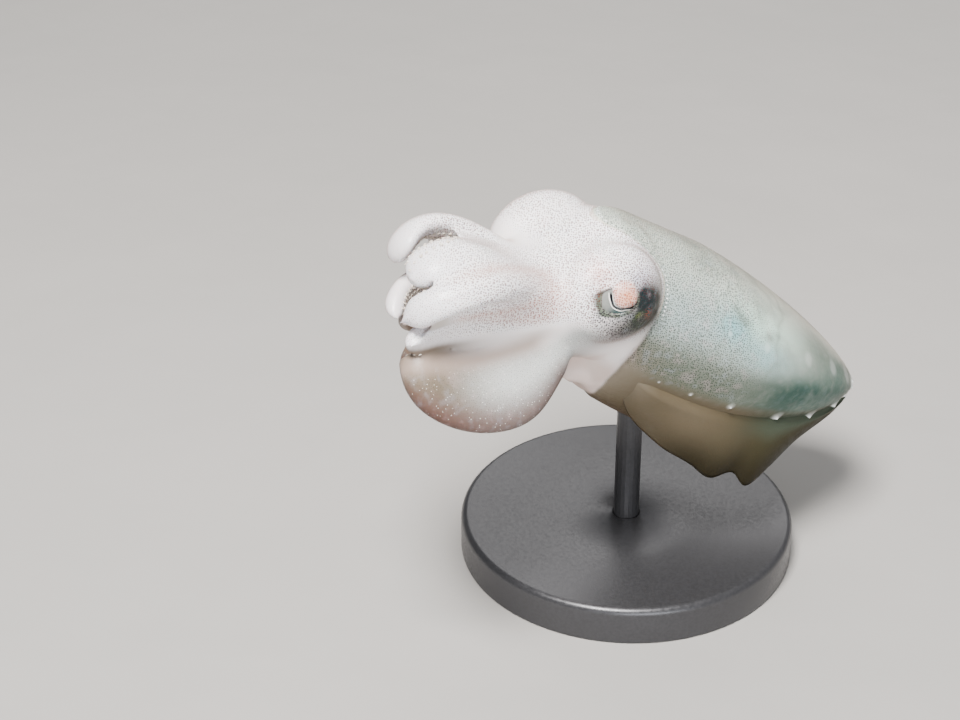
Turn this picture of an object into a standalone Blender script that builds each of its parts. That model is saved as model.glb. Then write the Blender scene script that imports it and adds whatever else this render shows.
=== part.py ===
"""A juvenile broadclub cuttlefish, life size, held over a plain display stand.

Sizes are in millimetres and degrees, and a mesh gets its metres when it is made. The animal faces
-X with its left side towards -Y. The head and the mantle each have their own axes: forward, left
and up. The origin is the middle of the underside of the stand's base.
"""

import math
import random

import bmesh
import bpy
import numpy as np
from mathutils import Vector

OBJECT_NAME = "broadclub_cuttlefish"
MM = 0.001
GAP = 0.3

# Stand
BASE_RADIUS = 17.0
BASE_HEIGHT = 4.0
BASE_SIDES = 48
ROD_RADIUS = 1.3
ROD_SIDES = 20
ROD_DEPTH_IN_BASE = 2.0
ROD_DEPTH_IN_BELLY = 2.2
BELLY_STATION = 0.42

# Head, placed by the point midway between the eyes, whose height is given over the floor
EYE_HEIGHT = 36.0
HEAD_PITCH, HEAD_YAW, HEAD_ROLL = 5.0, -3.3, -4.5
CROWN_FORWARD = 7.0
CROWN_UP = -1.5
EYE_BULB_AT = (1.4, 5.2, 0.3)
EYE_BULB_RADII = (5.3, 4.3, 4.7)
EYE_AT = (0.75, 5.2, 0.2)
GAZES = {1: (0.42, 0.80, 0.33), -1: (-0.04, 0.99, -0.02)}
EYEBALL_RADIUS = 2.7
EYEBALL_OUT = 2.0
LID_OUT = 1.75
LID_RADIUS = 2.5
LID_THICKNESS = 0.42

# Mantle
MANTLE_PITCH, MANTLE_YAW, MANTLE_ROLL = 31.0, -15.6, -11.4
MANTLE_FRONT = (-3.3, 0.0, -2.7)
MANTLE_LENGTH = 36.0
MANTLE_AHEAD = 2.8
MANTLE_HALF_WIDTH = 9.0
MANTLE_DORSAL_HEIGHT = 6.4
MANTLE_VENTRAL_HEIGHT = 12.2
MANTLE_WIDEST, BELLY_DEEPEST = 0.33, 0.42
DORSAL_TONGUE, TONGUE_ANGLE, TONGUE_POWER = 7.0, 23.0, 2.4
TONGUE_DIP, DIP_START = 0.03, -2.0
EDGE_BACK, VENTRAL_SETBACK = 0.6, 4.0
RECESS_SHARE = 0.86
RECESS_FLOOR = 6.5
MANTLE_RINGS = 26
MANTLE_SIDES = 36
ROW_ANGLE = 109.5

# Fins, from the front end of the root to its rear end as shares of the mantle's length, then the
# free width and the angle below sideways, each at shares of the root's length
FIN_START, FIN_END = 0.13, 0.965
FIN_ROOT_OFFSET = 0.8
FIN_BELOW_ROW = 5.0
FIN_ROOT_HALF_THICKNESS = 0.45
FIN_EDGE_HALF_THICKNESS = 0.27
FIN_WIDTHS = (
    (0.0, 0.6),
    (0.05, 2.2),
    (0.15, 3.5),
    (0.3, 4.7),
    (0.42, 5.6),
    (0.5, 6.4),
    (0.56, 5.8),
    (0.63, 6.5),
    (0.69, 4.6),
    (0.8, 2.0),
    (0.9, 0.8),
    (1.0, 0.5),
)
FIN_DROOPS = (
    (0.0, 75),
    (0.05, 90),
    (0.15, 94),
    (0.3, 87),
    (0.42, 76),
    (0.5, 69),
    (0.56, 65),
    (0.63, 58),
    (0.7, 56),
    (0.8, 57),
    (1.0, 55),
)
FIN_CURL = 22.0
FIN_STATIONS = 36
FIN_STEPS = 5

# Papillae along each side, as shares of the mantle's length and degrees from its top
PAPILLAE = (
    (0.225, 109),
    (0.34, 110),
    (0.475, 110),
    (0.675, 111),
    (0.82, 113),
    (0.915, 110),
    (0.955, 92),
    (0.975, 55),
)
PAPILLA_RADIUS = 0.4
PAPILLA_HEIGHT = 0.6
PAPILLA_ROOT = 0.5
PAPILLA_SIDES = 6

# Funnel, as rings of forward, up, half width, half height and downward tilt, on the head's axes
FUNNEL_RINGS = (
    (-5.2, -10.6, 7.2, 4.4, 0),
    (-3.4, -10.8, 6.5, 3.8, 0),
    (-1.8, -11.0, 5.2, 3.0, 5),
    (-0.4, -11.0, 3.7, 2.4, 15),
    (0.6, -11.0, 2.7, 1.9, 35),
    (1.1, -11.3, 2.0, 1.45, 50),
    (1.15, -11.5, 1.4, 1.0, 55),
    (0.2, -10.2, 1.2, 0.8, 55),
)
FUNNEL_SIDES = 20

# Suckers, in rows along the inner side of each arm
SUCKER_ROWS = (-0.44, 0.44)
SUCKERS_IN_ROW = 8
SUCKER_START, SUCKER_END = 0.14, 0.96
SUCKER_RADII = (0.44, 0.2)
SUCKER_SIDES = 6
SUCKER_ROOT = 0.25
SUCKER_STANDS = 0.3
SUCKER_HOLLOW = 0.2
SUCKER_VARIES = 0.06

# Mouth
LIP_RADIUS = 1.45
LIP_THICKNESS = 0.42
BEAK_RADIUS = 0.6
BEAK_HEIGHT = 1.0

# Arms: angle round the crown from its top, half of the angle that the arm fills, then the path's
# angles away from straight ahead at the base, the middle and the tip, length, sideways lean at the
# tip, and depth of the keel
ARM_RING_RADII = (3.95, 3.7)
ARM_WIDEST = 2.1
ARM_HALF_THICKNESS = 1.45
ARM_TIP_SHARE = 0.6
ARM_LIMITS = {"arm_left_2": 1.5}
KEEL_BACK = 4.2
ARM_SIDES = 8
ARM_RINGS = 16
ARMS = {
    "arm_left_1": (7, 18, -5, 91, -75, 14.9, -1, 0.0),
    "arm_left_2": (41, 18, 24, 58, -103, 18.3, -1, 0.0),
    "arm_left_3": (78, 24, -4, -16, 8, 15.0, 1, 0.0),
    "arm_left_4": (134, 26, 6, 2, -20, 14.9, 0, 6.1),
    "arm_right_1": (36, 18, 27, 77, -83, 14.4, 0, 0.0),
    "arm_right_2": (72, 18, -5, 46, -79, 14.7, -1, 0.0),
    "arm_right_3": (114, 21, 0, 20, -60, 13.0, 0, 0.0),
    "arm_right_4": (166, 26, 4, 6, -45, 11.5, 0, 5.0),
}

MATERIALS = {
    "skin": ((0.86, 0.85, 0.84, 1.0), 0.35, 0.0),
    "fin_membrane": ((0.55, 0.52, 0.44, 1.0), 0.35, 0.0),
    "eye": ((0.10, 0.14, 0.14, 1.0), 0.08, 0.0),
    "beak": ((0.08, 0.04, 0.02, 1.0), 0.35, 0.0),
    "stand_metal": ((0.05, 0.05, 0.055, 1.0), 0.4, 0.0),
}


def turn(axis, degrees):
    """The 3 x 3 matrix that turns a row vector about an axis."""
    angle = math.radians(degrees)
    x, y, z = axis
    cross = np.array(((0, z, -y), (-z, 0, x), (y, -x, 0)))
    return np.eye(3) + math.sin(angle) * cross + (1 - math.cos(angle)) * cross @ cross


def body_axes(pitch, yaw, roll):
    """Forward, left and up, as rows, of a body that faces -X before it is pitched, yawed and rolled."""
    tilt = math.radians(pitch)
    rows = np.array(
        (
            (-math.cos(tilt), 0, math.sin(tilt)),
            (0, -1, 0),
            (math.sin(tilt), 0, math.cos(tilt)),
        )
    )
    rows = rows @ turn((0, 0, 1), yaw)
    return rows @ turn(rows[0], roll)


HEAD = body_axes(HEAD_PITCH, HEAD_YAW, HEAD_ROLL)
MANTLE = body_axes(MANTLE_PITCH, MANTLE_YAW, MANTLE_ROLL)


def head_point():
    """The place of the eyes' midpoint that brings the belly over the middle of the base."""
    belly_back = BELLY_STATION * MANTLE_LENGTH - MANTLE_AHEAD
    belly_below = MANTLE_VENTRAL_HEIGHT
    belly = np.array(MANTLE_FRONT) @ HEAD - belly_back * MANTLE[0] - belly_below * MANTLE[2]
    return np.array((-belly[0], -belly[1], EYE_HEIGHT))


HEAD_POINT = head_point()
MANTLE_POINT = HEAD_POINT + np.array(MANTLE_FRONT) @ HEAD


def from_head(points):
    """World millimetres of points given as forward, left, up from the eyes' midpoint."""
    return np.asarray(points, float) @ HEAD + HEAD_POINT


def from_mantle(points):
    """World millimetres of points given as back, left, up from the middle of the mantle's front."""
    return np.asarray(points, float) * (-1, 1, 1) @ MANTLE + MANTLE_POINT


def new_collection(name):
    collection = bpy.data.collections.new(name)
    bpy.context.scene.collection.children.link(collection)
    return collection


def make_materials():
    made = {}
    for name, (colour, roughness, metallic) in MATERIALS.items():
        material = bpy.data.materials.new(name)
        material.use_nodes = True
        shader = material.node_tree.nodes["Principled BSDF"]
        shader.inputs["Base Color"].default_value = colour
        shader.inputs["Roughness"].default_value = roughness
        shader.inputs["Metallic"].default_value = metallic
        made[name] = material
    return made


def object_from(name, points, faces, collection, material=None):
    """A mesh object from points in millimetres."""
    mesh = bpy.data.meshes.new(name)
    mesh.from_pydata((np.asarray(points) * MM).tolist(), [], [tuple(map(int, face)) for face in faces])
    made = bpy.data.objects.new(name, mesh)
    collection.objects.link(made)
    if material is not None:
        mesh.materials.append(material)
        mesh.shade_smooth()
    return made


def face_outwards(made):
    """Turns all faces of a closed mesh outwards."""
    shape = bmesh.new()
    shape.from_mesh(made.data)
    bmesh.ops.recalc_face_normals(shape, faces=shape.faces)
    if shape.calc_volume(signed=True) < 0:
        bmesh.ops.reverse_faces(shape, faces=shape.faces)
    shape.to_mesh(made.data)
    shape.free()


def loft(name, rings, collection, material=None, sunk=0.0):
    """A closed body through rings of equal count, each end closed by a fan round its middle."""
    rings = np.asarray(rings, float)
    count, sides, _ = rings.shape
    first, last = rings[:1].mean(axis=1), rings[-1:].mean(axis=1) + sunk
    points = np.concatenate((rings.reshape(-1, 3), first, last))
    faces = []
    for ring in range(count - 1):
        for side in range(sides):
            following = (side + 1) % sides
            near, far = ring * sides, (ring + 1) * sides
            faces.append((near + side, near + following, far + following))
            faces.append((near + side, far + following, far + side))
    first, last = count * sides, count * sides + 1
    for side in range(sides):
        following = (side + 1) % sides
        faces.append((first, following, side))
        faces.append((last, (count - 1) * sides + side, (count - 1) * sides + following))
    made = object_from(name, points, faces, collection, material)
    face_outwards(made)
    return made


def ball(name, centre, rows, radii, collection, segments=28, rings=18, material=None):
    """An ellipsoid with its own axes, from a sphere of many sides."""
    shape = bmesh.new()
    bmesh.ops.create_uvsphere(shape, u_segments=segments, v_segments=rings, radius=1.0)
    for vertex in shape.verts:
        place = (np.array(vertex.co) * radii) @ rows + centre
        vertex.co = Vector(place * MM)
    mesh = bpy.data.meshes.new(name)
    shape.to_mesh(mesh)
    shape.free()
    made = bpy.data.objects.new(name, mesh)
    collection.objects.link(made)
    if material is not None:
        mesh.materials.append(material)
        mesh.shade_smooth()
    face_outwards(made)
    return made


def apply_modifiers(made):
    """Puts the result of an object's modifiers into its mesh."""
    graph = bpy.context.evaluated_depsgraph_get()
    mesh = bpy.data.meshes.new_from_object(made.evaluated_get(graph))
    old = made.data
    made.modifiers.clear()
    made.data = mesh
    bpy.data.meshes.remove(old)


def keep_largest(made):
    """Removes all but the largest closed surface of a mesh."""
    shape = bmesh.new()
    shape.from_mesh(made.data)
    left = set(shape.verts)
    islands = []
    while left:
        island = set()
        waiting = [left.pop()]
        while waiting:
            vertex = waiting.pop()
            island.add(vertex)
            for edge in vertex.link_edges:
                other = edge.other_vert(vertex)
                if other in left:
                    left.remove(other)
                    waiting.append(other)
        islands.append(island)
    islands.sort(key=len)
    for island in islands[:-1]:
        bmesh.ops.delete(shape, geom=list(island), context="VERTS")
    shape.to_mesh(made.data)
    shape.free()


def combine(made, others, operation, solver="EXACT"):
    """Joins or cuts an object with all others in one Boolean, then removes the others."""
    group = new_collection(made.name + "_tools")
    for other in others:
        for collection in list(other.users_collection):
            collection.objects.unlink(other)
        group.objects.link(other)
    modifier = made.modifiers.new("combine", "BOOLEAN")
    modifier.operation = operation
    modifier.operand_type = "COLLECTION"
    modifier.collection = group
    modifier.solver = solver
    apply_modifiers(made)
    for other in others:
        bpy.data.objects.remove(other)
    bpy.data.collections.remove(group)
    keep_largest(made)


def taper(station, front, power, end, widest=MANTLE_WIDEST):
    """1 at the widest station, the share front at station 0 and 0 at station 1."""
    station = np.asarray(station, float)
    back = np.clip((station - widest) / (1 - widest), 0, 1)
    ahead = np.clip((widest - station) / widest, 0, 1)
    return np.where(station > widest, (1 - back**power) ** end, 1 - (1 - front) * ahead**1.6)


def mantle_section(station, angle, share=1.0):
    """Left and up of the mantle's skin at an angle in radians from its top, at a share of its size."""
    width = MANTLE_HALF_WIDTH * taper(station, 0.95, 2.35, 0.55)
    above = MANTLE_DORSAL_HEIGHT * taper(station, 1.06, 1.25, 0.72)
    below = MANTLE_VENTRAL_HEIGHT * taper(station, 0.78, 1.7, 0.62, BELLY_DEEPEST)
    height = np.where(np.cos(angle) > 0, above, below)
    return share * width * np.sin(angle), share * height * np.cos(angle)


def mantle_edge(angle):
    """How far back the mantle's front edge lies: a tongue on top, set back underneath."""
    up = np.cos(angle)
    aside = np.degrees(np.abs(np.arctan2(np.sin(angle), up)))
    tongue = DORSAL_TONGUE * np.exp(-((aside / TONGUE_ANGLE) ** TONGUE_POWER))
    return EDGE_BACK - tongue + VENTRAL_SETBACK * np.maximum(-up, 0) ** 3


def mantle_skin(back, angle, share=1.0):
    """World points of the mantle's skin at a distance behind its front and an angle from its top."""
    station = np.clip((back + MANTLE_AHEAD) / MANTLE_LENGTH, 0, 1)
    left, up = mantle_section(station, angle, share)
    dip = TONGUE_DIP * np.maximum(DIP_START - back, 0) ** 2 * np.maximum(np.cos(angle), 0)
    return from_mantle(np.stack((back + 0 * left, left, up - dip), axis=-1))


def station_back(station):
    return station * MANTLE_LENGTH - MANTLE_AHEAD


def make_mantle(collection, material):
    """The mantle's bag: its skin from front edge to tail, and the recess that takes the neck."""
    angle = np.linspace(0, 2 * math.pi, MANTLE_SIDES, endpoint=False)
    edge = mantle_edge(angle)
    rings = [
        mantle_skin(RECESS_FLOOR + 0 * angle, angle, 0.3),
        mantle_skin(RECESS_FLOOR + 0 * angle, angle, RECESS_SHARE - 0.02),
        mantle_skin(edge + 0.8, angle, RECESS_SHARE),
        mantle_skin(edge + 0.1, angle, RECESS_SHARE + 0.03),
        mantle_skin(edge + 0.0, angle, 0.97),
    ]
    tail = station_back(1.0)
    for step in np.linspace(0, 1, MANTLE_RINGS + 1)[:-1]:
        share = 1 - (1 - step) ** 1.7
        back = edge + 0.35 + (tail - 0.12 - edge - 0.35) * share
        rings.append(mantle_skin(back, angle))
    return loft("mantle", rings, collection, material)


def mantle_envelope(collection):
    """The mantle without its recess, grown by the gap, which cuts what lies against it."""
    angle = np.linspace(0, 2 * math.pi, MANTLE_SIDES, endpoint=False)
    edge = mantle_edge(angle) - GAP
    grown = 1 + GAP / MANTLE_HALF_WIDTH
    rings = [mantle_skin(edge, angle, 0.5)]
    for back in (0.0, 3.0, 8.0, 14.0):
        rings.append(mantle_skin(edge + back, angle, grown))
    return loft("envelope", rings, collection)


def neck_ring(back, share):
    angle = np.linspace(0, 2 * math.pi, MANTLE_SIDES, endpoint=False)
    return mantle_skin(back + 0 * angle, angle, share)


def head_ring(forward, up, half_width, above, below, tilt):
    """A ring across the head; its tilt turns it back at the top, in degrees."""
    angle = np.linspace(0, 2 * math.pi, MANTLE_SIDES, endpoint=False)
    height = np.where(np.cos(angle) > 0, above, below) * np.cos(angle)
    lean = math.radians(tilt)
    points = np.stack(
        (
            forward - math.sin(lean) * height,
            half_width * np.sin(angle),
            up + math.cos(lean) * height,
        ),
        axis=-1,
    )
    return from_head(points)


def make_head(mantle, collection, material):
    """Neck, cheeks and crown in one loft, with the eye bulbs joined on, cut clear of the mantle and
    with the eye sockets cut."""
    plug = RECESS_SHARE - 0.02 - GAP / 5.0
    rings = [
        neck_ring(RECESS_FLOOR - 1.5 * GAP, plug * 0.96),
        neck_ring(RECESS_FLOOR - 2.5 * GAP, plug),
        neck_ring(2.4, plug),
        head_ring(-2.2, -2.6, 7.8, 6.85, 6.4, 22),
        head_ring(0.4, -2.3, 7.6, 7.8, 6.2, 12),
        head_ring(3.4, -2.0, 6.8, 6.3, 5.8, 4),
        head_ring(5.6, -1.7, 5.9, 5.0, 5.3, 0),
        head_ring(CROWN_FORWARD - 0.3, CROWN_UP, 5.5, 4.8, 5.0, 0),
        head_ring(CROWN_FORWARD, CROWN_UP, 5.2, 4.5, 4.7, 0),
    ]
    head = loft("head", rings, collection, material)
    bulbs = []
    for side in (1, -1):
        centre = from_head(np.array(EYE_BULB_AT) * (1, side, 1))
        bulb = ball("bulb", centre, HEAD, EYE_BULB_RADII, collection, 20, 13)
        combine(bulb, [mantle_envelope(collection)], "DIFFERENCE")
        bulbs.append(bulb)
        bulbs.append(lid(side, collection))
    combine(head, bulbs, "UNION")
    combine(head, [grown_copy(mantle, collection)], "DIFFERENCE")
    sockets = []
    for side in (1, -1):
        radius = EYEBALL_RADIUS + GAP
        sockets.append(ball("socket", eyeball_centre(side), HEAD, (radius,) * 3, collection, 18, 11))
    combine(head, sockets, "DIFFERENCE")
    return head


def look(side):
    """World direction of an eye's gaze."""
    direction = np.array(GAZES[side]) * (1, side, 1)
    return direction / np.linalg.norm(direction) @ HEAD


def eyeball_centre(side):
    return from_head(np.array(EYE_AT) * (1, side, 1)) + EYEBALL_OUT * look(side)


def lid(side, collection):
    """The raised ring of skin round an eye."""
    gaze = look(side)
    across = np.cross(HEAD[2], gaze)
    across /= np.linalg.norm(across)
    rise = np.cross(gaze, across)
    round_eye = np.linspace(0, 2 * math.pi, 18, endpoint=False)
    round_lid = np.linspace(0, 2 * math.pi, 6, endpoint=False)
    big, small = np.meshgrid(round_eye, round_lid, indexing="ij")
    reach = LID_RADIUS + LID_THICKNESS * np.cos(small)
    out = LID_OUT + LID_THICKNESS * np.sin(small)
    points = (
        (reach * np.cos(big))[..., None] * across
        + (reach * np.sin(big))[..., None] * rise
        + out[..., None] * gaze
        + eyeball_centre(side)
    )
    return ring_tube("lid", points, collection)


def ring_tube(name, rings, collection, material=None):
    """A closed tube whose last ring joins its first."""
    count, sides, _ = rings.shape
    faces = []
    for ring in range(count):
        for side in range(sides):
            following = (side + 1) % sides
            near, far = ring * sides, (ring + 1) % count * sides
            faces.append((near + side, near + following, far + following, far + side))
    made = object_from(name, rings.reshape(-1, 3), faces, collection, material)
    face_outwards(made)
    return made


def make_eyes(collection, material):
    for name, side in (("eye_left", 1), ("eye_right", -1)):
        ball(name, eyeball_centre(side), HEAD, (EYEBALL_RADIUS,) * 3, collection, 18, 11, material)


def grown_copy(made, collection):
    """A copy of a body grown by the gap, which cuts what lies against the body."""
    copy = made.copy()
    copy.data = made.data.copy()
    collection.objects.link(copy)
    shape = bmesh.new()
    shape.from_mesh(copy.data)
    bmesh.ops.remove_doubles(shape, verts=shape.verts, dist=0.01 * MM)
    shape.normal_update()
    for vertex in shape.verts:
        vertex.co += vertex.normal * GAP * MM
    shape.to_mesh(copy.data)
    shape.free()
    return copy


def make_funnel(head, mantle, collection, material):
    """The funnel under the neck, with the mouth of its tube, cut clear of head and mantle."""
    angle = np.linspace(0, 2 * math.pi, FUNNEL_SIDES, endpoint=False)
    rings = []
    for forward, up, half_width, half_height, tilt in FUNNEL_RINGS:
        lean = math.radians(tilt)
        flat = np.stack(
            (
                forward + math.sin(lean) * half_height * np.cos(angle),
                half_width * np.sin(angle),
                up + math.cos(lean) * half_height * np.cos(angle),
            ),
            axis=-1,
        )
        rings.append(from_head(flat))
    funnel = loft("funnel", rings, collection, material)
    combine(funnel, [grown_copy(head, collection), grown_copy(mantle, collection)], "DIFFERENCE")
    return funnel


def make_mouth(collection, skin, horn):
    """Round lips in the middle of the crown, with the beak's tip inside them."""
    round_mouth = np.linspace(0, 2 * math.pi, 18, endpoint=False)
    round_lip = np.linspace(0, 2 * math.pi, 8, endpoint=False)
    big, small = np.meshgrid(round_mouth, round_lip, indexing="ij")
    reach = LIP_RADIUS + LIP_THICKNESS * np.cos(small)
    ahead = CROWN_FORWARD + GAP + LIP_THICKNESS * (1 + np.sin(small))
    points = np.stack((ahead, reach * np.sin(big), CROWN_UP + reach * np.cos(big)), axis=-1)
    ring_tube("lips", from_head(points), collection, skin)
    shape = bmesh.new()
    bmesh.ops.create_cone(
        shape, cap_ends=True, segments=10, radius1=BEAK_RADIUS * MM, radius2=0.1 * MM, depth=BEAK_HEIGHT * MM
    )
    beak = bpy.data.meshes.new("beak")
    shape.to_mesh(beak)
    shape.free()
    made = bpy.data.objects.new("beak", beak)
    collection.objects.link(made)
    beak.materials.append(horn)
    middle = from_head((CROWN_FORWARD + GAP + BEAK_HEIGHT / 2, 0, CROWN_UP))
    made.location = Vector(middle * MM)
    made.rotation_euler = Vector(HEAD[0]).to_track_quat("Z", "Y").to_euler()


def arm_line(theta, base, middle, tip, length, lean, count):
    """Path points, travel, outward and sideways directions of a left arm on the head's axes."""
    angle = math.radians(theta)
    across, high = ARM_RING_RADII
    spot = np.array((CROWN_FORWARD + GAP, across * math.sin(angle), CROWN_UP + high * math.cos(angle)))
    radial = np.array((0, math.sin(angle), math.cos(angle)))
    sideways = np.array((0, math.cos(angle), -math.sin(angle)))
    ahead = np.array((1.0, 0, 0))
    share = np.linspace(0, 1, count)
    bend = np.radians((1 - share) ** 2 * base + 2 * share * (1 - share) * middle + share**2 * tip)
    travel = np.cos(bend)[:, None] * ahead + np.sin(bend)[:, None] * radial
    travel = travel + (share * math.tan(math.radians(lean)))[:, None] * sideways
    travel /= np.linalg.norm(travel, axis=1)[:, None]
    step = length / (count - 1)
    middles = (travel[1:] + travel[:-1]) / 2
    points = spot + np.concatenate((np.zeros((1, 3)), np.cumsum(middles, axis=0) * step))
    outward = -np.sin(bend)[:, None] * ahead + np.cos(bend)[:, None] * radial
    outward -= np.sum(outward * travel, axis=1)[:, None] * travel
    outward /= np.linalg.norm(outward, axis=1)[:, None]
    return share, points, travel, outward, np.cross(travel, outward)


def blade_share(place):
    """Height of a keel from root to tip: it rises in a slant and ends full."""
    late = np.clip((place - 0.3) / 0.4, 0, 1)
    wave = np.sin(math.pi * np.clip(place, 0.01, 0.995) ** 1.25)
    return wave ** (1 - 0.5 * late * late * (3 - 2 * late))


def arm_size(name, share, points):
    """Half width, half thickness and keel of an arm, which fills its sector of the crown."""
    sector, length, keel = (ARMS[name][place] for place in (1, 5, 7))
    from_axis = np.hypot(points[:, 1], points[:, 2] - CROWN_UP)
    body = 1 - (1 - ARM_TIP_SHARE) * share
    end = np.sqrt(np.clip(1 - (np.clip(share - 0.86, 0, 1) / 0.14) ** 2, 0.02, 1))
    limit = ARM_LIMITS.get(name, ARM_WIDEST)
    width = np.minimum(math.sin(math.radians(sector)) * from_axis - GAP * 0.55, limit)
    blade = keel * blade_share((share * length + KEEL_BACK) / (length + KEEL_BACK))
    return width * end, ARM_HALF_THICKNESS * body * end, blade


def sucker(centre, rise, across, radius, collection):
    """A short cup that widens to its rim, its root below the skin it stands on."""
    other = np.cross(rise, across)
    angle = np.linspace(0, 2 * math.pi, SUCKER_SIDES, endpoint=False)
    around = radius * (np.cos(angle)[:, None] * across + np.sin(angle)[:, None] * other)
    root = centre - SUCKER_ROOT * rise + 0.75 * around
    rim = centre + SUCKER_STANDS * rise + around
    return loft("sucker", (root, rim), collection, sunk=-SUCKER_HOLLOW * rise)


def arm_suckers(name, line, size, side, collection):
    """The suckers of one arm, smaller towards its tip, in staggered rows."""
    share, points, _, outward, sideways = line
    width, thickness, _ = size
    draw = random.Random(name)
    found = []
    for row, offset in enumerate(SUCKER_ROWS):
        for number in range(SUCKERS_IN_ROW):
            along = (number + 0.5 * row + draw.uniform(-SUCKER_VARIES, SUCKER_VARIES)) / SUCKERS_IN_ROW
            along = SUCKER_START + (SUCKER_END - SUCKER_START) * (1 - (1 - along) ** 1.15)
            station = int(round(along * (len(share) - 1)))
            inward = -math.sqrt(1 - offset**2) * thickness[station]
            spot = points[station] + inward * outward[station] + offset * width[station] * sideways[station]
            rise = -outward[station] + 0.45 * offset * sideways[station]
            rise /= np.linalg.norm(rise)
            across = np.cross(sideways[station], rise)
            across /= np.linalg.norm(across)
            big, small = SUCKER_RADII
            radius = min(big + (small - big) * along, 0.42 * width[station])
            mirrored = np.array((1, side, 1))
            found.append(
                sucker(
                    from_head(spot * mirrored),
                    (rise * mirrored) @ HEAD,
                    (across * mirrored) @ HEAD,
                    radius,
                    collection,
                )
            )
    return found


def make_arm(name, collection, material):
    theta, _, base, middle, tip, length, lean, keel = ARMS[name]
    side = 1 if "left" in name else -1
    count = 4 * ARM_RINGS + 1
    line = arm_line(theta, base, middle, tip, length, lean, count)
    share, points, _, outward, sideways = line
    size = arm_size(name, share, points)
    width, thickness, blade = size
    sides = ARM_SIDES + (4 if keel else 0)
    angle = np.linspace(0, 2 * math.pi, sides, endpoint=False)
    wanted = 1 - (1 - np.linspace(0, 1, ARM_RINGS)) ** 1.35
    rings = []
    for station in np.round(wanted * (count - 1)).astype(int):
        out = thickness[station] * np.sin(angle) + blade[station] * np.maximum(np.sin(angle), 0)
        ring = (
            points[station]
            + out[:, None] * outward[station]
            + (width[station] * np.cos(angle))[:, None] * sideways[station]
        )
        if station == 0:
            ring[:, 0] = CROWN_FORWARD + GAP
        rings.append(from_head(ring * (1, side, 1)))
    arm = loft(name, rings, collection, material)
    combine(arm, arm_suckers(name, line, size, side, collection), "UNION")
    return arm


def fin_root(share, side):
    """Middle of a fin's root, off the mantle's skin, at a share of the fin's length."""
    back = station_back(FIN_START + (FIN_END - FIN_START) * share)
    angle = side * math.radians(ROW_ANGLE + FIN_BELOW_ROW)
    skin = mantle_skin(back, angle)
    outward = skin - mantle_skin(back, angle, 0.8)
    return skin + FIN_ROOT_OFFSET * outward / np.linalg.norm(outward)


def smooth_curve(knots, places):
    """The smooth curve through knots of place and value, read at the places."""
    where, value = np.asarray(knots, float).T
    slope = np.gradient(value, where)
    knot = np.clip(np.searchsorted(where, places, side="right") - 1, 0, len(where) - 2)
    span = where[knot + 1] - where[knot]
    t = (places - where[knot]) / span
    start = (1 + 2 * t) * (1 - t) ** 2 * value[knot] + t * (1 - t) ** 2 * span * slope[knot]
    end = t**2 * (3 - 2 * t) * value[knot + 1] - t**2 * (1 - t) * span * slope[knot + 1]
    return start + end


def make_fin(name, side, collection, material):
    """A thin fin along the mantle's side: a curved sheet with a face on either side of its middle."""
    shares = np.linspace(0, 1, FIN_STATIONS)
    steps = np.linspace(0, 1, FIN_STEPS)
    middle = np.zeros((FIN_STATIONS, FIN_STEPS, 3))
    for row, share in enumerate(shares):
        droop = smooth_curve(FIN_DROOPS, share)
        width = smooth_curve(FIN_WIDTHS, share)
        spot = fin_root(share, side)
        for column, step in enumerate(steps):
            middle[row, column] = spot
            aim = math.radians(droop + FIN_CURL * (step + 0.5 / FIN_STEPS))
            direction = side * math.cos(aim) * MANTLE[1] - math.sin(aim) * MANTLE[2]
            spot = spot + direction * width / (FIN_STEPS - 1)
    along = np.gradient(middle, axis=0)
    outward = np.gradient(middle, axis=1)
    normal = np.cross(along, outward)
    normal /= np.linalg.norm(normal, axis=2)[..., None]
    half = FIN_ROOT_HALF_THICKNESS + (FIN_EDGE_HALF_THICKNESS - FIN_ROOT_HALF_THICKNESS) * steps
    half = np.broadcast_to(half, (FIN_STATIONS, FIN_STEPS))
    upper = middle + normal * half[..., None]
    lower = middle - normal * half[..., None]
    points = np.concatenate((upper.reshape(-1, 3), lower.reshape(-1, 3)))
    return sheet(name, points, FIN_STATIONS, FIN_STEPS, collection, material)


def sheet(name, points, rows, columns, collection, material):
    """A closed sheet from the points of its two faces, split into triangles alike on both."""
    faces = []
    under = rows * columns
    for row in range(rows - 1):
        for column in range(columns - 1):
            near, far = row * columns + column, (row + 1) * columns + column
            faces.append((near, far, far + 1))
            faces.append((near, far + 1, near + 1))
            faces.append((under + near, under + far + 1, under + far))
            faces.append((under + near, under + near + 1, under + far + 1))
    rim = [row * columns for row in range(rows)]
    rim += [(rows - 1) * columns + column for column in range(1, columns)]
    rim += [row * columns + columns - 1 for row in range(rows - 2, -1, -1)]
    rim += [column for column in range(columns - 2, 0, -1)]
    for here, following in zip(rim, rim[1:] + rim[:1]):
        faces.append((here, following, under + following))
        faces.append((here, under + following, under + here))
    made = object_from(name, points, faces, collection, material)
    face_outwards(made)
    return made


def cylinder(name, bottom, top, radius, sides, collection, material=None):
    shape = bmesh.new()
    bmesh.ops.create_cone(
        shape,
        cap_ends=True,
        segments=sides,
        radius1=radius * MM,
        radius2=radius * MM,
        depth=(top - bottom) * MM,
    )
    mesh = bpy.data.meshes.new(name)
    shape.to_mesh(mesh)
    shape.free()
    made = bpy.data.objects.new(name, mesh)
    made.location = (0, 0, (top + bottom) / 2 * MM)
    collection.objects.link(made)
    if material is not None:
        mesh.materials.append(material)
    return made


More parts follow.
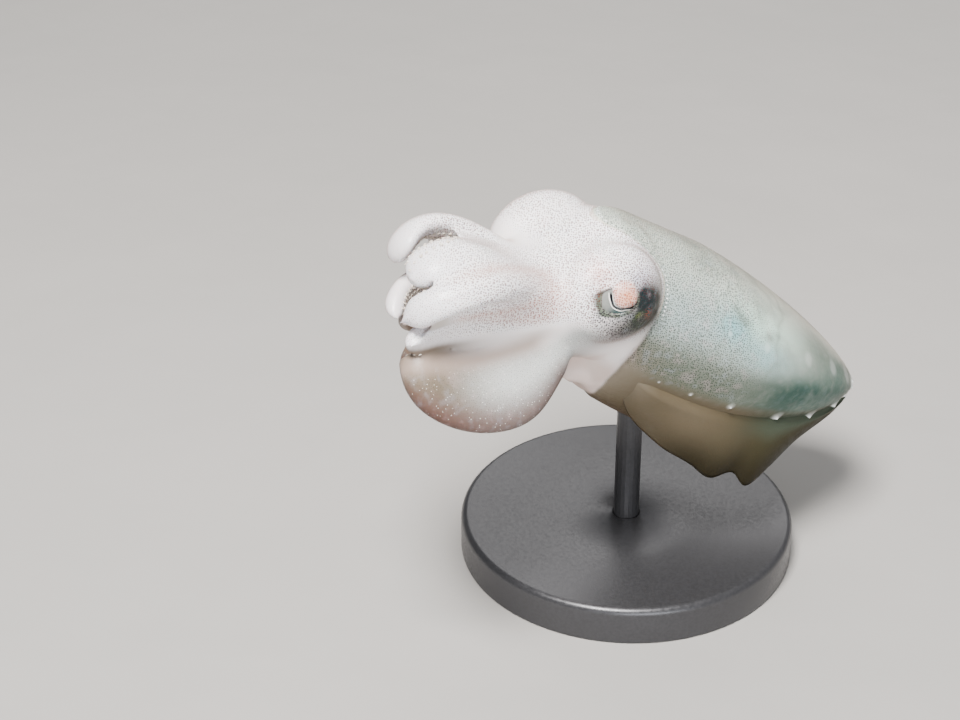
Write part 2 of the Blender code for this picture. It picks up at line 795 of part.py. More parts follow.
def add_papillae(mantle, collection):
    """Small cones in a row over each fin's root."""
    cones = []
    for side in (1, -1):
        for station, around in PAPILLAE:
            angle = side * math.radians(around)
            spot = mantle_skin(station_back(station), angle)
            inside = mantle_skin(station_back(station), angle, 0.8)
            rise = (spot - inside) / np.linalg.norm(spot - inside)
            across = np.cross(rise, MANTLE[0])
            across /= np.linalg.norm(across)
            other = np.cross(rise, across)
            turn_round = np.linspace(0, 2 * math.pi, PAPILLA_SIDES, endpoint=False)
            around = np.cos(turn_round)[:, None] * across + np.sin(turn_round)[:, None] * other
            rings = (
                spot - PAPILLA_ROOT * rise + 1.2 * PAPILLA_RADIUS * around,
                spot + PAPILLA_HEIGHT * rise + 0.3 * PAPILLA_RADIUS * around,
            )
            cones.append(loft("papilla", rings, collection))
    combine(mantle, cones, "UNION")


def make_stand(mantle, collection, material):
    """A round base and an upright rod whose ends sit in sockets of the base and the belly."""
    belly = mantle_skin(station_back(BELLY_STATION), math.pi)[2]
    rod_bottom = BASE_HEIGHT - ROD_DEPTH_IN_BASE
    rod_top = belly + ROD_DEPTH_IN_BELLY
    cutter = cylinder("rod_socket", rod_bottom, rod_top, ROD_RADIUS + GAP, ROD_SIDES, collection)
    combine(mantle, [cutter], "DIFFERENCE")
    base = cylinder("stand_base", 0.0, BASE_HEIGHT, BASE_RADIUS, BASE_SIDES, collection, material)
    cutter = cylinder("rod_socket", rod_bottom, rod_top, ROD_RADIUS + GAP, ROD_SIDES, collection)
    combine(base, [cutter], "DIFFERENCE")
    cylinder("stand_rod", rod_bottom + GAP, rod_top - GAP, ROD_RADIUS, ROD_SIDES, collection, material)


def clear_scene():
    for old in list(bpy.data.objects):
        bpy.data.objects.remove(old)


def main():
    clear_scene()
    collection = new_collection(OBJECT_NAME)
    materials = make_materials()
    mantle = make_mantle(collection, materials["skin"])
    add_papillae(mantle, collection)
    head = make_head(mantle, collection, materials["skin"])
    make_eyes(collection, materials["eye"])
    make_funnel(head, mantle, collection, materials["skin"])
    make_mouth(collection, materials["skin"], materials["beak"])
    for name in ARMS:
        make_arm(name, collection, materials["skin"])
    make_fin("fin_left", 1, collection, materials["fin_membrane"])
    make_fin("fin_right", -1, collection, materials["fin_membrane"])
    make_stand(mantle, collection, materials["stand_metal"])
    root = bpy.data.objects.new(OBJECT_NAME, None)
    for made in list(collection.objects):
        made.parent = root
    collection.objects.link(root)


main()
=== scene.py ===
"""Looks of a young broadclub cuttlefish, life size, on its plain stand.

Shapes are worked out in millimetres from named sizes like those of the solids, as points on grids,
and a mesh gets its metres when it is made. The head and the mantle each have their own axes:
forward, left and up. The flesh is one skin: closed forms are merged into one surface, its creases
are smoothed, the eyelids are pressed into it and the papillae raised from it. Fins, eyes,
suckers, mouth and stand are pieces of their own.
"""

import math
import random

import bmesh
import bpy
import numpy as np
from mathutils import Matrix


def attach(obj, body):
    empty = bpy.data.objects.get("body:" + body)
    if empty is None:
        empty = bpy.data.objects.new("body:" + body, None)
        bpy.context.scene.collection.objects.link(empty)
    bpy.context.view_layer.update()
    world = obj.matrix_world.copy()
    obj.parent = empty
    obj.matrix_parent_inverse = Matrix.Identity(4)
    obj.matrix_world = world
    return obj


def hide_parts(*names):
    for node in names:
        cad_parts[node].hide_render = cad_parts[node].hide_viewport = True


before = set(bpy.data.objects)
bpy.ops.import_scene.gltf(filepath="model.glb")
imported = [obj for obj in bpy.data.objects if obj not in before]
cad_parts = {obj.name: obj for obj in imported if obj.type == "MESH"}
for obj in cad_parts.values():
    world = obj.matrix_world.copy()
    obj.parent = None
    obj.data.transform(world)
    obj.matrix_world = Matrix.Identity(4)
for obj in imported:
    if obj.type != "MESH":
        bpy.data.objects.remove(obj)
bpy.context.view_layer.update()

MM = 0.001

# Camera and room
VIEW_AZIMUTH, VIEW_ELEVATION = 40.0, 31.0
VIEW_DISTANCE = 212.0
LENS, SENSOR = 85.0, 36.0
PICTURE = (960, 720)
EYES_IN_PICTURE = (584, 266)

# Head and mantle
EYE_HEIGHT = 36.0
HEAD_TURN = (5.0, -3.3, -4.5)
MANTLE_TURN = (31.0, -15.6, -11.4)
MANTLE_FRONT = (-3.3, 0.0, -2.7)
MANTLE_LENGTH, MANTLE_AHEAD = 36.0, 2.8
MANTLE_HALF_WIDTH, MANTLE_ABOVE, MANTLE_BELOW = 9.0, 6.4, 12.2
MANTLE_WIDEST, BELLY_DEEPEST = 0.33, 0.42
DORSAL_TONGUE, TONGUE_ANGLE, TONGUE_POWER = 7.0, 23.0, 2.4
TONGUE_DIP, DIP_START = 0.015, -2.0
EDGE_BACK, VENTRAL_SETBACK = 0.6, 4.0
NECK_SHARE = 0.97
ROW_ANGLE = 109.5
COLOUR_ROW = ROW_ANGLE - 3.0
BELLY_STATION = 0.42
CROWN_FORWARD, CROWN_UP = 7.0, -1.5

# Head sections: forward, up, half width, height above, height below, backward tilt
HEAD_SECTIONS = (
    (-2.2, -2.6, 7.8, 7.1, 6.4, 22),
    (0.4, -2.3, 7.6, 7.8, 6.2, 12),
    (3.4, -2.0, 6.8, 6.3, 5.8, 4),
    (5.6, -1.7, 5.9, 5.0, 5.3, 0),
    (6.7, -1.5, 5.5, 4.8, 5.0, 0),
    (7.1, -1.5, 5.0, 4.4, 4.6, 0),
)

# Eyes, by side: 1 is left and -1 is right
BULBS = {1: (1.4, 5.2, 0.3), -1: (0.9, 5.2, 0.4)}
BULB_RADII = {1: (5.3, 4.3, 4.7), -1: (5.8, 4.3, 4.8)}
EYE_AT = (0.75, 5.2, 0.2)
GAZES = {1: (0.42, 0.80, 0.33), -1: (-0.04, 0.99, -0.02)}
EYEBALL_OUT, EYEBALL_RADIUS = 2.0, 2.7

# Eye opening, the lobe that hangs into it and the slit of the pupil under the lobe, in millimetres
# forward and up over the eyeball's face; a point of the slit starts with its place along it
OPENING_MIDDLE, OPENING_RADII = (0.64, 0.08), (1.6, 1.15)
LOBE_MIDDLE, LOBE_RADII = (-0.05, 0.5), (1.08, 1.1)
SLIT = (
    (0.0, 1.17, 0.9),
    (0.25, 1.17, 0.1),
    (0.36, 1.05, -0.35),
    (0.47, 0.68, -0.64),
    (0.68, 0.0, -0.7),
    (0.88, -0.7, -0.68),
    (1.0, -1.12, -0.45),
)

# Funnel rings: forward, up, half width, half height, downward tilt
FUNNEL_RINGS = (
    (-5.2, -10.6, 7.2, 4.4, 0),
    (-3.4, -10.8, 6.5, 3.8, 0),
    (-1.8, -11.0, 5.2, 3.0, 5),
    (-0.4, -11.0, 3.7, 2.4, 15),
    (0.6, -11.0, 2.7, 1.9, 35),
    (1.1, -11.3, 2.0, 1.45, 50),
    (1.15, -11.5, 1.4, 1.0, 55),
    (0.2, -10.2, 1.2, 0.8, 55),
)

# Arms: angle round the crown, half of the angle that the arm fills, path angles at base, middle
# and tip, length, lean and keel; fullness is an arm's width against the sector that it fills
ARM_RING_RADII = (3.95, 3.7)
ARM_WIDEST, ARM_HALF_THICKNESS, ARM_TIP_SHARE = 2.1, 1.45, 0.6
ARMS = {
    "left_1": (7, 18, -5, 91, -75, 14.9, -1, 0.0),
    "left_2": (41, 18, 24, 58, -103, 18.3, -1, 0.0),
    "left_3": (78, 24, -4, -16, 8, 15.0, 1, 0.0),
    "left_4": (134, 26, 6, 2, -20, 14.9, 0, 6.1),
    "right_1": (36, 18, 27, 77, -83, 14.4, 0, 0.0),
    "right_2": (72, 18, -5, 46, -79, 14.7, -1, 0.0),
    "right_3": (114, 21, 0, 20, -60, 13.0, 0, 0.0),
    "right_4": (166, 26, 4, 6, -45, 11.5, 0, 5.0),
}
ARM_FULLNESS = {"left_2": 1.02, "left_3": 1.3}
ARM_LIMITS = {"left_2": 1.5}
KEEL_BACK = 5.5
ARM_TWISTS = {"left_1": 120, "left_2": 35, "left_3": -70, "right_1": -15}

# Webs between two arms: reach and bulge; two of them have a groove, shifted to one side
WEBS = (
    ("left_1", "left_2", 0.78, 0.15),
    ("left_2", "left_3", 0.82, 0.55),
    ("left_3", "left_4", 0.62, 0.15),
    ("left_4", "right_4", 0.35, -0.1),
    ("right_4", "right_3", 0.5, 0.1),
    ("right_3", "right_2", 0.5, 0.1),
    ("right_2", "right_1", 0.5, 0.1),
    ("right_1", "left_1", 0.5, -0.1),
)
GROOVE_SHIFTS = {"left_1": 1.9, "left_2": -0.6}

# Suckers: angles of the rows round the arm, count, radii at root and tip, and the turned profile
SUCKER_ROWS = (-0.78, -0.27, 0.27, 0.78)
SUCKERS_IN_ROW = 16
SUCKER_RADII = (0.3, 0.14)
SUCKER_PROFILE = (
    (0.45, -0.3), (0.5, 0.3), (0.85, 0.6), (1.0, 0.85), (0.92, 1.05), (0.7, 1.05), (0.5, 0.8), (0.15, 0.7),
)

# Fins: width and angle below sideways along the root
FIN_START, FIN_END = 0.13, 0.965
FIN_ROOT_OFFSET, FIN_BELOW_ROW = 0.25, 5.0
FIN_CURL = 22.0
FIN_HALF_THICKNESS = (0.34, 0.14)
FIN_RIPPLES, FIN_RIPPLE_HEIGHT = 5, 0.07
FIN_WIDTHS = (
    (0.0, 0.4), (0.05, 2.0), (0.15, 4.2), (0.3, 5.2), (0.44, 5.7), (0.53, 6.3),
    (0.585, 5.4), (0.66, 6.5), (0.72, 4.6), (0.82, 2.0), (0.9, 0.8), (1.0, 0.5),
)
FIN_DROOPS = (
    (0.0, 118), (0.05, 116), (0.15, 104), (0.3, 88), (0.42, 76), (0.5, 69),
    (0.56, 65), (0.63, 58), (0.7, 56), (0.8, 57), (1.0, 55),
)

# Papillae: station, degrees from the top and size
PAPILLAE = (
    (0.225, 108.5, 0.25), (0.34, 108, 0.38), (0.487, 107.5, 0.65), (0.675, 110, 1.0), (0.815, 112, 1.1),
    (0.915, 110, 1.1), (0.955, 104, 0.9), (0.965, 84, 0.9), (0.965, 55, 0.8),
)
PAPILLA_RADIUS, PAPILLA_HEIGHT = 0.36, 0.42

# Mouth
LIP_RADIUS, LIP_THICKNESS = 1.45, 0.42

# Stand
BASE_RADIUS, BASE_HEIGHT, BASE_EDGE, FOOT_EDGE = 17.0, 4.0, 0.7, 0.25
ROD_RADIUS, ROD_GAP = 1.3, 0.03

# Skin: width of a face, rounds of smoothing and reach of the finer faces, then its colours
VOXEL = 0.2
SKIN_ROUNDS, JOINT_ROUNDS, HOLLOW_ROUNDS, EYE_ROUNDS = 5, 30, 170, 14
FINE_ROUND_EYE, FINE_ROUND_PAPILLA = 3.2, 1.3
PEARL = (0.97, 0.945, 0.955)
PINK_BEIGE = (0.86, 0.76, 0.73)
COLLAR = (0.45, 0.39, 0.32)
FUNNEL_PINK = (0.74, 0.61, 0.56)
MANTLE_WHITE = (0.56, 0.61, 0.53)
MANTLE_BLUE = (0.30, 0.385, 0.385)
MANTLE_MINT = (0.58, 0.80, 0.68)
MANTLE_CYAN = (0.20, 0.45, 0.49)
# Painted shade on the mantle: grey on its lower side, darker towards its rear, teal low and behind
MANTLE_LOW_SHADE = (0.075, 0.085, 0.05)
MANTLE_REAR_SHADE = (0.065, 0.115, 0.09)
MANTLE_TEAL_SHADE = (0.02, 0.065, 0.05)
SPOT_GREY = (0.16, 0.19, 0.155)
# Spots: station, degrees from the top, their reaches and strength; lines: station at the top and slope
MANTLE_SPOTS = (
    (0.27, 11, 0.06, 10, 0.5),
    (0.30, -3, 0.05, 12, 0.35),
    (0.39, 44, 0.025, 5, 0.65),
    (0.36, 38, 0.02, 5, 0.5),
    (0.495, 47, 0.02, 4, 0.7),
    (0.53, 42, 0.018, 3, 0.5),
    (0.48, 20, 0.07, 9, 0.3),
    (0.75, 30, 0.07, 18, 0.5),
)
MANTLE_LINES = ((0.34, 0.04), (0.585, 0.09))
# Painted shade with warm reflected light under the belly
BELLY_SHADE = (0.13, 0.10, 0.065)
BELLY_PALE = (0.23, 0.195, 0.145)
GROOVE_PINK = (0.62, 0.44, 0.39)
FLAP_WHITE = (0.45, 0.48, 0.46)
# Painted shade on the flap's front
FLAP_FRONT_SHADE = (0.12, 0.088, 0.056)
FLAP_EDGE = (0.10, 0.05, 0.04)
# Painted shadow in the fold over the flap
FLAP_FOLD_SHADOW = (0.30, 0.23, 0.19)
ARM_GREY = (0.56, 0.55, 0.60)
ARM_INNER = (0.36, 0.30, 0.24)
# Painted shade round the eye, behind and below it: teal, green and dark grey
EYE_TEAL_SHADE = (0.006, 0.022, 0.024)
EYE_GREEN_SHADE = (0.04, 0.05, 0.033)
EYE_SHADE = (0.12, 0.10, 0.095)
EYE_VIOLET = (0.45, 0.42, 0.55)
EYE_BRIM = (0.10, 0.12, 0.09)
EYE_GREY = (0.50, 0.46, 0.45)
LOBE_ORANGE = (0.66, 0.30, 0.17)
LOBE_PINK = (0.66, 0.46, 0.42)
EYE_LIME = (0.10, 0.13, 0.03)
BLUSH = (0.85, 0.55, 0.52)
# Fins olive, darkened in part as painted shade; darker still to the rear, near the root and at the margin
# as painted shade
FIN_ROOT = (0.115, 0.09, 0.055)
FIN_REAR_SHADE = (0.034, 0.03, 0.014)
SHADE_BELOW_ROW = (0.05, 0.062, 0.042)
FIN_MARGIN_SHADE = (0.012, 0.009, 0.003)
RIM = (0.62, 0.52, 0.42)
BEADS = (1.0, 1.0, 1.0)
# Painted shade where the skin turns away from the camera
OUTLINE_SHADE = (0.55, 0.42, 0.36)
PAPILLA_WHITE = (0.95, 0.97, 0.95)
MOTTLE_GREY = (0.20, 0.24, 0.20)
CLOUD_WHITE = (0.80, 0.86, 0.80)
FLECK_WHITE = (1.0, 0.98, 0.92)
SHEENS = ((0.52, 0.72, (0.88, 0.66, 0.70)), (0.46, 0.28, (0.66, 0.74, 0.88)))
PIGMENT_BROWN, PIGMENT_RED = (0.085, 0.04, 0.065), (0.20, 0.065, 0.045)
PIGMENT_GREEN, PIGMENT_ORANGE = (0.035, 0.05, 0.035), (0.36, 0.07, 0.025)
PIGMENT_BLACK = (0.015, 0.012, 0.016)

# Patches round an eye: strength, middle and reaches, in millimetres forward and up from its centre;
# the dark grey, green and teal ones are painted shade behind and below the eye
EYE_PATCHES = (
    (EYE_VIOLET, ((0.5, -1.8, 1.7, 1.7, 1.2),)),
    (EYE_SHADE, ((0.9, 0.4, -3.1, 2.3, 1.4),)),
    (EYE_GREEN_SHADE, ((1.3, -1.8, -2.4, 2.0, 1.6), (1.2, -3.0, -0.8, 1.2, 1.9))),
    (EYE_TEAL_SHADE, ((1.7, -1.9, -0.3, 0.8, 1.1), (0.8, -2.6, -1.0, 1.2, 1.5))),
    (EYE_LIME, ((0.8, -1.3, -1.7, 0.5, 0.3),)),
)
EMBERS = (1.5, -2.4, -1.9, 0.4, 0.6)

# Masks stored with every point of the skin and the fins
MASKS = ("dots", "dark", "warm", "blotch", "cool", "fleck")

# Chromatophores: cells in a metre, how far they stray, their least size and what chance adds
DOT_SCALE, DOT_SCATTER, DOT_LEAST, DOT_SPREAD = 4900, 0.72, 0.24, 0.14

# Row of beads: distance behind the mantle's edge, half width and spacing; FAR is past any edge
BEADS_BACK, BEAD_RADIUS, BEAD_SPACING = 0.5, 0.13, 0.5
FAR = 9.0

# Lights: place in metres, width, power and colour
LIGHTS = {
    "key_light": ((-0.14, -0.07, 0.33), 0.11, 4.1, (1.0, 0.97, 0.94)),
    "fill_light": ((-0.20, -0.36, 0.05), 0.25, 1.8, (0.94, 0.97, 1.0)),
    "back_light": ((0.20, 0.16, 0.26), 0.26, 0.7, (1.0, 0.98, 0.95)),
}
LIGHTS_AIM = (0, 0, 0.028)
SKY, SKY_STRENGTH = (0.9, 0.93, 1.0, 1), 0.22
FLOOR_HALF = 900.0


# Axes


def turn(axis, degrees):
    """Rotation of row vectors about an axis: the identity, plus sine times the cross matrix, plus
    one minus cosine times its square."""
    angle = math.radians(degrees)
    x, y, z = axis
    cross = np.array(((0, z, -y), (-z, 0, x), (y, -x, 0)))
    return np.eye(3) + math.sin(angle) * cross + (1 - math.cos(angle)) * cross @ cross


def body_axes(pitch, yaw, roll):
    """Rows forward, left and up of a body facing -X, pitched up, yawed about Z and rolled."""
    tilt = math.radians(pitch)
    rows = np.array(
        ((-math.cos(tilt), 0, math.sin(tilt)), (0, -1, 0), (math.sin(tilt), 0, math.cos(tilt)))
    )
    rows = rows @ turn((0, 0, 1), yaw)
    return rows @ turn(rows[0], roll)


HEAD = body_axes(*HEAD_TURN)
MANTLE = body_axes(*MANTLE_TURN)


def head_point():
    """Place of the point between the eyes that brings the belly over the middle of the base."""
    back = BELLY_STATION * MANTLE_LENGTH - MANTLE_AHEAD
    belly = np.array(MANTLE_FRONT) @ HEAD - back * MANTLE[0] - MANTLE_BELOW * MANTLE[2]
    return np.array((-belly[0], -belly[1], EYE_HEIGHT))


HEAD_POINT = head_point()
MANTLE_POINT = HEAD_POINT + np.array(MANTLE_FRONT) @ HEAD


def from_head(points):
    """World points of head points."""
    return np.asarray(points, float) @ HEAD + HEAD_POINT


def to_head(points):
    """Head points of world points."""
    return (points - HEAD_POINT) @ HEAD.T


def unit(vectors):
    return vectors / np.linalg.norm(vectors, axis=-1, keepdims=True)


def dot_planes():
    """Rows of three planes' directions: one towards left, top and front, and two across it."""
    first = unit(np.array((0.55, 0.66, 0.51)) @ HEAD)
    second = unit(np.cross(first, HEAD[2]))
    return np.array((first, second, np.cross(first, second)))


DOT_PLANES = dot_planes()


def ease(low, high, values):
    """0 below low, 1 above high, and 3t^2 - 2t^3 between them."""
    t = np.clip((values - low) / (high - low), 0, 1)
    return t * t * (3 - 2 * t)


def bell(offset, reach):
    """1 at no offset, and e to minus the square of offset over reach."""
    return np.exp(-((offset / reach) ** 2))


def circle(count):
    """Angles evenly round a full turn."""
    return np.linspace(0, math.tau, count, endpoint=False)


def smooth_curve(knots, places):
    """Cubic Hermite curve through knots, each slope the mean change across its neighbours."""
    table = np.asarray(knots, float)
    where, value = table[:, 0], table[:, 1:]
    slope = np.gradient(value, where, axis=0)
    places = np.asarray(places, float)
    knot = np.clip(np.searchsorted(where, places, side="right") - 1, 0, len(where) - 2)
    span = (where[knot + 1] - where[knot])[..., None]
    t = (places[..., None] - where[knot][..., None]) / span
    start = (1 + 2 * t) * (1 - t) ** 2 * value[knot] + t * (1 - t) ** 2 * span * slope[knot]
    end = t**2 * (3 - 2 * t) * value[knot + 1] - t**2 * (1 - t) * span * slope[knot + 1]
    return start + end


# Meshes


def linked(name, data):
    """New object of the data, in the scene."""
    made = bpy.data.objects.new(name, data)
    bpy.context.scene.collection.objects.link(made)
    return made


def mesh_object(name, points, faces, material=None):
    """Smooth mesh in the scene, from points in millimetres."""
    mesh = bpy.data.meshes.new(name)
    mesh.from_pydata((np.asarray(points).reshape(-1, 3) * MM).tolist(), [], faces)
    mesh.shade_smooth()
    if material is not None:
        mesh.materials.append(material)
    return linked(name, mesh)


def grid_faces(rows, columns, wrap):
    """Four-sided faces of a grid whose last column may join its first."""
    row = np.arange(rows - 1)[:, None]
    column = np.arange(columns if wrap else columns - 1)[None]
    following = (column + 1) % columns
    near, far = row * columns, (row + 1) * columns
    faces = np.stack((near + column, near + following, far + following, far + column), axis=-1)
    return faces.reshape(-1, 4).tolist()


def outwards(made):
    """The closed body with its faces looking out."""
    shape = bmesh.new()
    shape.from_mesh(made.data)
    bmesh.ops.recalc_face_normals(shape, faces=shape.faces)
    if shape.calc_volume(signed=True) < 0:
        bmesh.ops.reverse_faces(shape, faces=shape.faces)
    shape.to_mesh(made.data)
    shape.free()
    return made


def tube(name, rings, material=None):
    """Closed body through rings, each end closed by one face."""
    rings = np.asarray(rings)
    rows, columns, _ = rings.shape
    faces = grid_faces(rows, columns, True)
    faces.append(list(range(columns)))
    faces.append(list(range((rows - 1) * columns, rows * columns)))
    return outwards(mesh_object(name, rings, faces, material))


def ring_tube(name, rings, material=None):
    """Closed tube whose last ring joins its first."""
    rings = np.asarray(rings)
    around = np.concatenate((rings, rings[:1]))
    rows, columns, _ = around.shape
    faces = np.array(grid_faces(rows, columns, True)) % (len(rings) * columns)
    return outwards(mesh_object(name, rings, faces.tolist(), material))


def joined(name, objects):
    """One object with the meshes of all, which are removed."""
    shape = bmesh.new()
    for piece in objects:
        shape.from_mesh(piece.data)
    mesh = bpy.data.meshes.new(name)
    shape.to_mesh(mesh)
    shape.free()
    for material in objects[0].data.materials:
        mesh.materials.append(material)
    for piece in objects:
        bpy.data.objects.remove(piece)
    mesh.shade_smooth()
    return linked(name, mesh)


def read_points(mesh, field):
    """Three numbers of every point, as rows."""
    values = np.empty(len(mesh.vertices) * 3, np.float32)
    mesh.vertices.foreach_get(field, values)
    return values.reshape(-1, 3).astype(float)


def points_of(mesh):
    return read_points(mesh, "co") / MM


def put_points(mesh, points):
    mesh.vertices.foreach_set("co", (points * MM).astype(np.float32).ravel())
    mesh.update()


def put(mesh, name, values):
    """Stores a number, a vector of 3 or a colour of 4 with every point."""
    values = np.asarray(values, np.float32)
    kinds = {1: ("FLOAT", "value"), 3: ("FLOAT_VECTOR", "vector"), 4: ("FLOAT_COLOR", "color")}
    kind, field = kinds[values.size // len(values)]
    mesh.attributes.new(name, kind, "POINT").data.foreach_set(field, values.ravel())


# Shapes


def taper(station, front, power, end, widest=MANTLE_WIDEST):
    """From the share front at the mantle's opening, by a power, to 1 at its widest station, then
    one minus the way back to a power, all to the power end, to 0 at the tail."""
    back = np.clip((station - widest) / (1 - widest), 0, 1)
    ahead = np.clip((widest - station) / widest, 0, 1)
    return np.where(station > widest, (1 - back**power) ** end, 1 - (1 - front) * ahead**1.6)


def mantle_radii(back):
    """Half width, height above and height below, each its largest value times its own taper."""
    station = np.clip((np.asarray(back, float) + MANTLE_AHEAD) / MANTLE_LENGTH, 0, 1)
    width = MANTLE_HALF_WIDTH * taper(station, 0.95, 2.35, 0.55)
    above = MANTLE_ABOVE * taper(station, 1.06, 1.25, 0.72)
    below = MANTLE_BELOW * taper(station, 0.78, 1.7, 0.62, BELLY_DEEPEST)
    return width, above, below


def mantle_skin(back, angle, share=1.0):
    """Half ellipses above and below the mantle's middle, their radii tapered along its length."""
    width, above, below = mantle_radii(back)
    height = np.where(np.cos(angle) > 0, above, below)
    left, up = share * width * np.sin(angle), share * height * np.cos(angle)
    up = up - TONGUE_DIP * np.maximum(DIP_START - back, 0) ** 2 * np.maximum(np.cos(angle), 0)
    local = np.stack(np.broadcast_arrays(-np.asarray(back, float), left, up), axis=-1)
    return local @ MANTLE + MANTLE_POINT


def mantle_edge(angle):
    """Front edge: forward on top by a bell curve of the angle, back underneath by the cubed cosine."""
    up = np.cos(angle)
    aside = np.degrees(np.abs(np.arctan2(np.sin(angle), up)))
    tongue = DORSAL_TONGUE * np.exp(-((aside / TONGUE_ANGLE) ** TONGUE_POWER))
    return EDGE_BACK - tongue + VENTRAL_SETBACK * np.maximum(-up, 0) ** 3


def station_back(station):
    """Millimetres back at a share of the mantle's length."""
    return station * MANTLE_LENGTH - MANTLE_AHEAD


def mantle_form():
    """Rings from a lip inside the opening, over the front edge and back to the tail."""
    angle = circle(144)
    edge = mantle_edge(angle)
    lip = ((3.0, 0.6), (1.6, 0.84), (0.5, 0.90), (0.05, 0.955), (0.1, 0.985))
    rings = [mantle_skin(edge + behind, angle, share) for behind, share in lip]
    front, tail = edge + 0.4, station_back(1.0) - 0.01
    for step in np.linspace(0, 1, 90)[:-1]:
        rings.append(mantle_skin(front + (tail - front) * (1 - (1 - step) ** 1.7), angle))
    return tube("mantle_form", rings)


def between_sections(sections, count):
    """Rows of a smooth curve through sections that stand one unit apart."""
    table = [(i,) + section for i, section in enumerate(sections)]
    return smooth_curve(table, np.linspace(0, len(sections) - 1, count))


def head_ring(angle, forward, up, half_width, above, below, tilt):
    """Ring of two half ellipses across the head, its upper half tilted forward."""
    height = np.where(np.cos(angle) > 0, above, below) * np.cos(angle)
    lean = math.radians(tilt)
    points = (forward + math.sin(lean) * height, half_width * np.sin(angle), up + math.cos(lean) * height)
    return from_head(np.stack(points, axis=-1))


def head_form():
    """Neck inside the mantle, then cheeks and crown through the head sections."""
    angle = circle(120)
    neck = ((9.0, 0.6), (6.5, 1.0), (1.6, 1.0))
    rings = [mantle_skin(back + 0 * angle, angle, NECK_SHARE * share) for back, share in neck]
    for *sizes, tilt in between_sections(HEAD_SECTIONS, 40):
        rings.append(head_ring(angle, *sizes, -tilt))
    return tube("head_form", rings)


def ball_form(name, centre, axes, radii, columns=64, rows=40, material=None):
    """Ellipsoid: sines and cosines of two angles times its radii."""
    high = np.linspace(0.02, math.pi - 0.02, rows)[:, None]
    around = circle(columns)[None]
    sphere = (np.sin(high) * np.cos(around), np.sin(high) * np.sin(around), np.cos(high) + 0 * around)
    return tube(name, (np.stack(sphere, axis=-1) * radii) @ axes + centre, material)


def funnel_form():
    """Ellipses on a smooth curve through the funnel rings, tilting down to a rounded tip."""
    rings = []
    for forward, up, half_width, height, tilt in between_sections(FUNNEL_RINGS, 42):
        rings.append(head_ring(circle(48), forward, up, half_width, height, height, tilt))
    return tube("funnel_form", rings)


def blade_share(place):
    """Keel's height from root to tip: a sine to a power that falls from root to tip, so that it
    rises in a slant and ends full."""
    power = 1.0 - 0.5 * ease(0.3, 0.7, place)
    return np.sin(math.pi * np.clip(place, 0.005, 0.995) ** 1.25) ** power


def arm_line(name, count=97):
    """Path whose angle away from straight ahead is a quadratic Bezier of three angles along it."""
    theta, sector, base, middle, tip, length, lean, keel = ARMS[name]
    angle = math.radians(theta)
    across, high = ARM_RING_RADII
    spot = np.array((CROWN_FORWARD + 0.3, across * math.sin(angle), CROWN_UP + high * math.cos(angle)))
    radial = np.array((0, math.sin(angle), math.cos(angle)))
    sideways = np.array((0, math.cos(angle), -math.sin(angle)))
    ahead = np.array((1.0, 0, 0))
    share = np.linspace(0, 1, count)
    bend = np.radians((1 - share) ** 2 * base + 2 * share * (1 - share) * middle + share**2 * tip)
    travel = np.cos(bend)[:, None] * ahead + np.sin(bend)[:, None] * radial
    travel = unit(travel + (share * math.tan(math.radians(lean)))[:, None] * sideways)
    middles = (travel[1:] + travel[:-1]) / 2
    points = spot + np.concatenate((np.zeros((1, 3)), np.cumsum(middles, axis=0) * length / (count - 1)))
    outward = -np.sin(bend)[:, None] * ahead + np.cos(bend)[:, None] * radial
    outward = unit(outward - np.sum(outward * travel, axis=1)[:, None] * travel)
    from_axis = np.hypot(points[:, 1], points[:, 2] - CROWN_UP)
    wide = ARM_FULLNESS.get(name, 1.2) * math.sin(math.radians(sector)) * from_axis
    mirror = np.array((1, 1 if "left" in name else -1, 1))
    end = np.sqrt(np.clip(1 - (np.clip(share - 0.86, 0, 1) / 0.14) ** 2, 0.003, 1))
    return {
        "share": share,
        "points": from_head(points * mirror),
        "travel": (travel * mirror) @ HEAD,
        "outward": (outward * mirror) @ HEAD,
        "sideways": (np.cross(travel, outward) * mirror) @ HEAD,
        "width": np.minimum(wide, ARM_LIMITS.get(name, ARM_WIDEST)) * end,
        "thickness": ARM_HALF_THICKNESS * (1 - (1 - ARM_TIP_SHARE) * share) * end,
        "blade": keel * blade_share((share * length + KEEL_BACK) / (length + KEEL_BACK)),
        "keel": keel,
    }


ARM_LINES = {name: arm_line(name) for name in ARMS}


def arm_form(name):
    """Ellipse carried along the arm's path, its outer half stretched by the keel, its root led
    back into the head."""
    line = ARM_LINES[name]
    angle = circle(40)

    def ring(index, depth, full, blade):
        out = full * line["thickness"][index] * np.sin(angle) + blade * np.maximum(np.sin(angle), 0)
        side = full * line["width"][index] * np.cos(angle)
        middle = line["points"][index] - depth * HEAD[0]
        return middle + out[:, None] * line["outward"][index] + side[:, None] * line["sideways"][index]

    length = ARMS[name][5]
    rings = []
    for depth, full in ((5.4, 0.4), (4.4, 0.55), (3.2, 0.7), (2.0, 0.85), (0.9, 1.0)):
        blade = line["keel"] * blade_share(np.array((KEEL_BACK - depth) / (length + KEEL_BACK)))
        rings.append(ring(0, depth, full, blade))
    rings += [ring(index, 0.0, 1.0, line["blade"][index]) for index in range(len(line["share"]))]
    return tube("arm_form", rings)


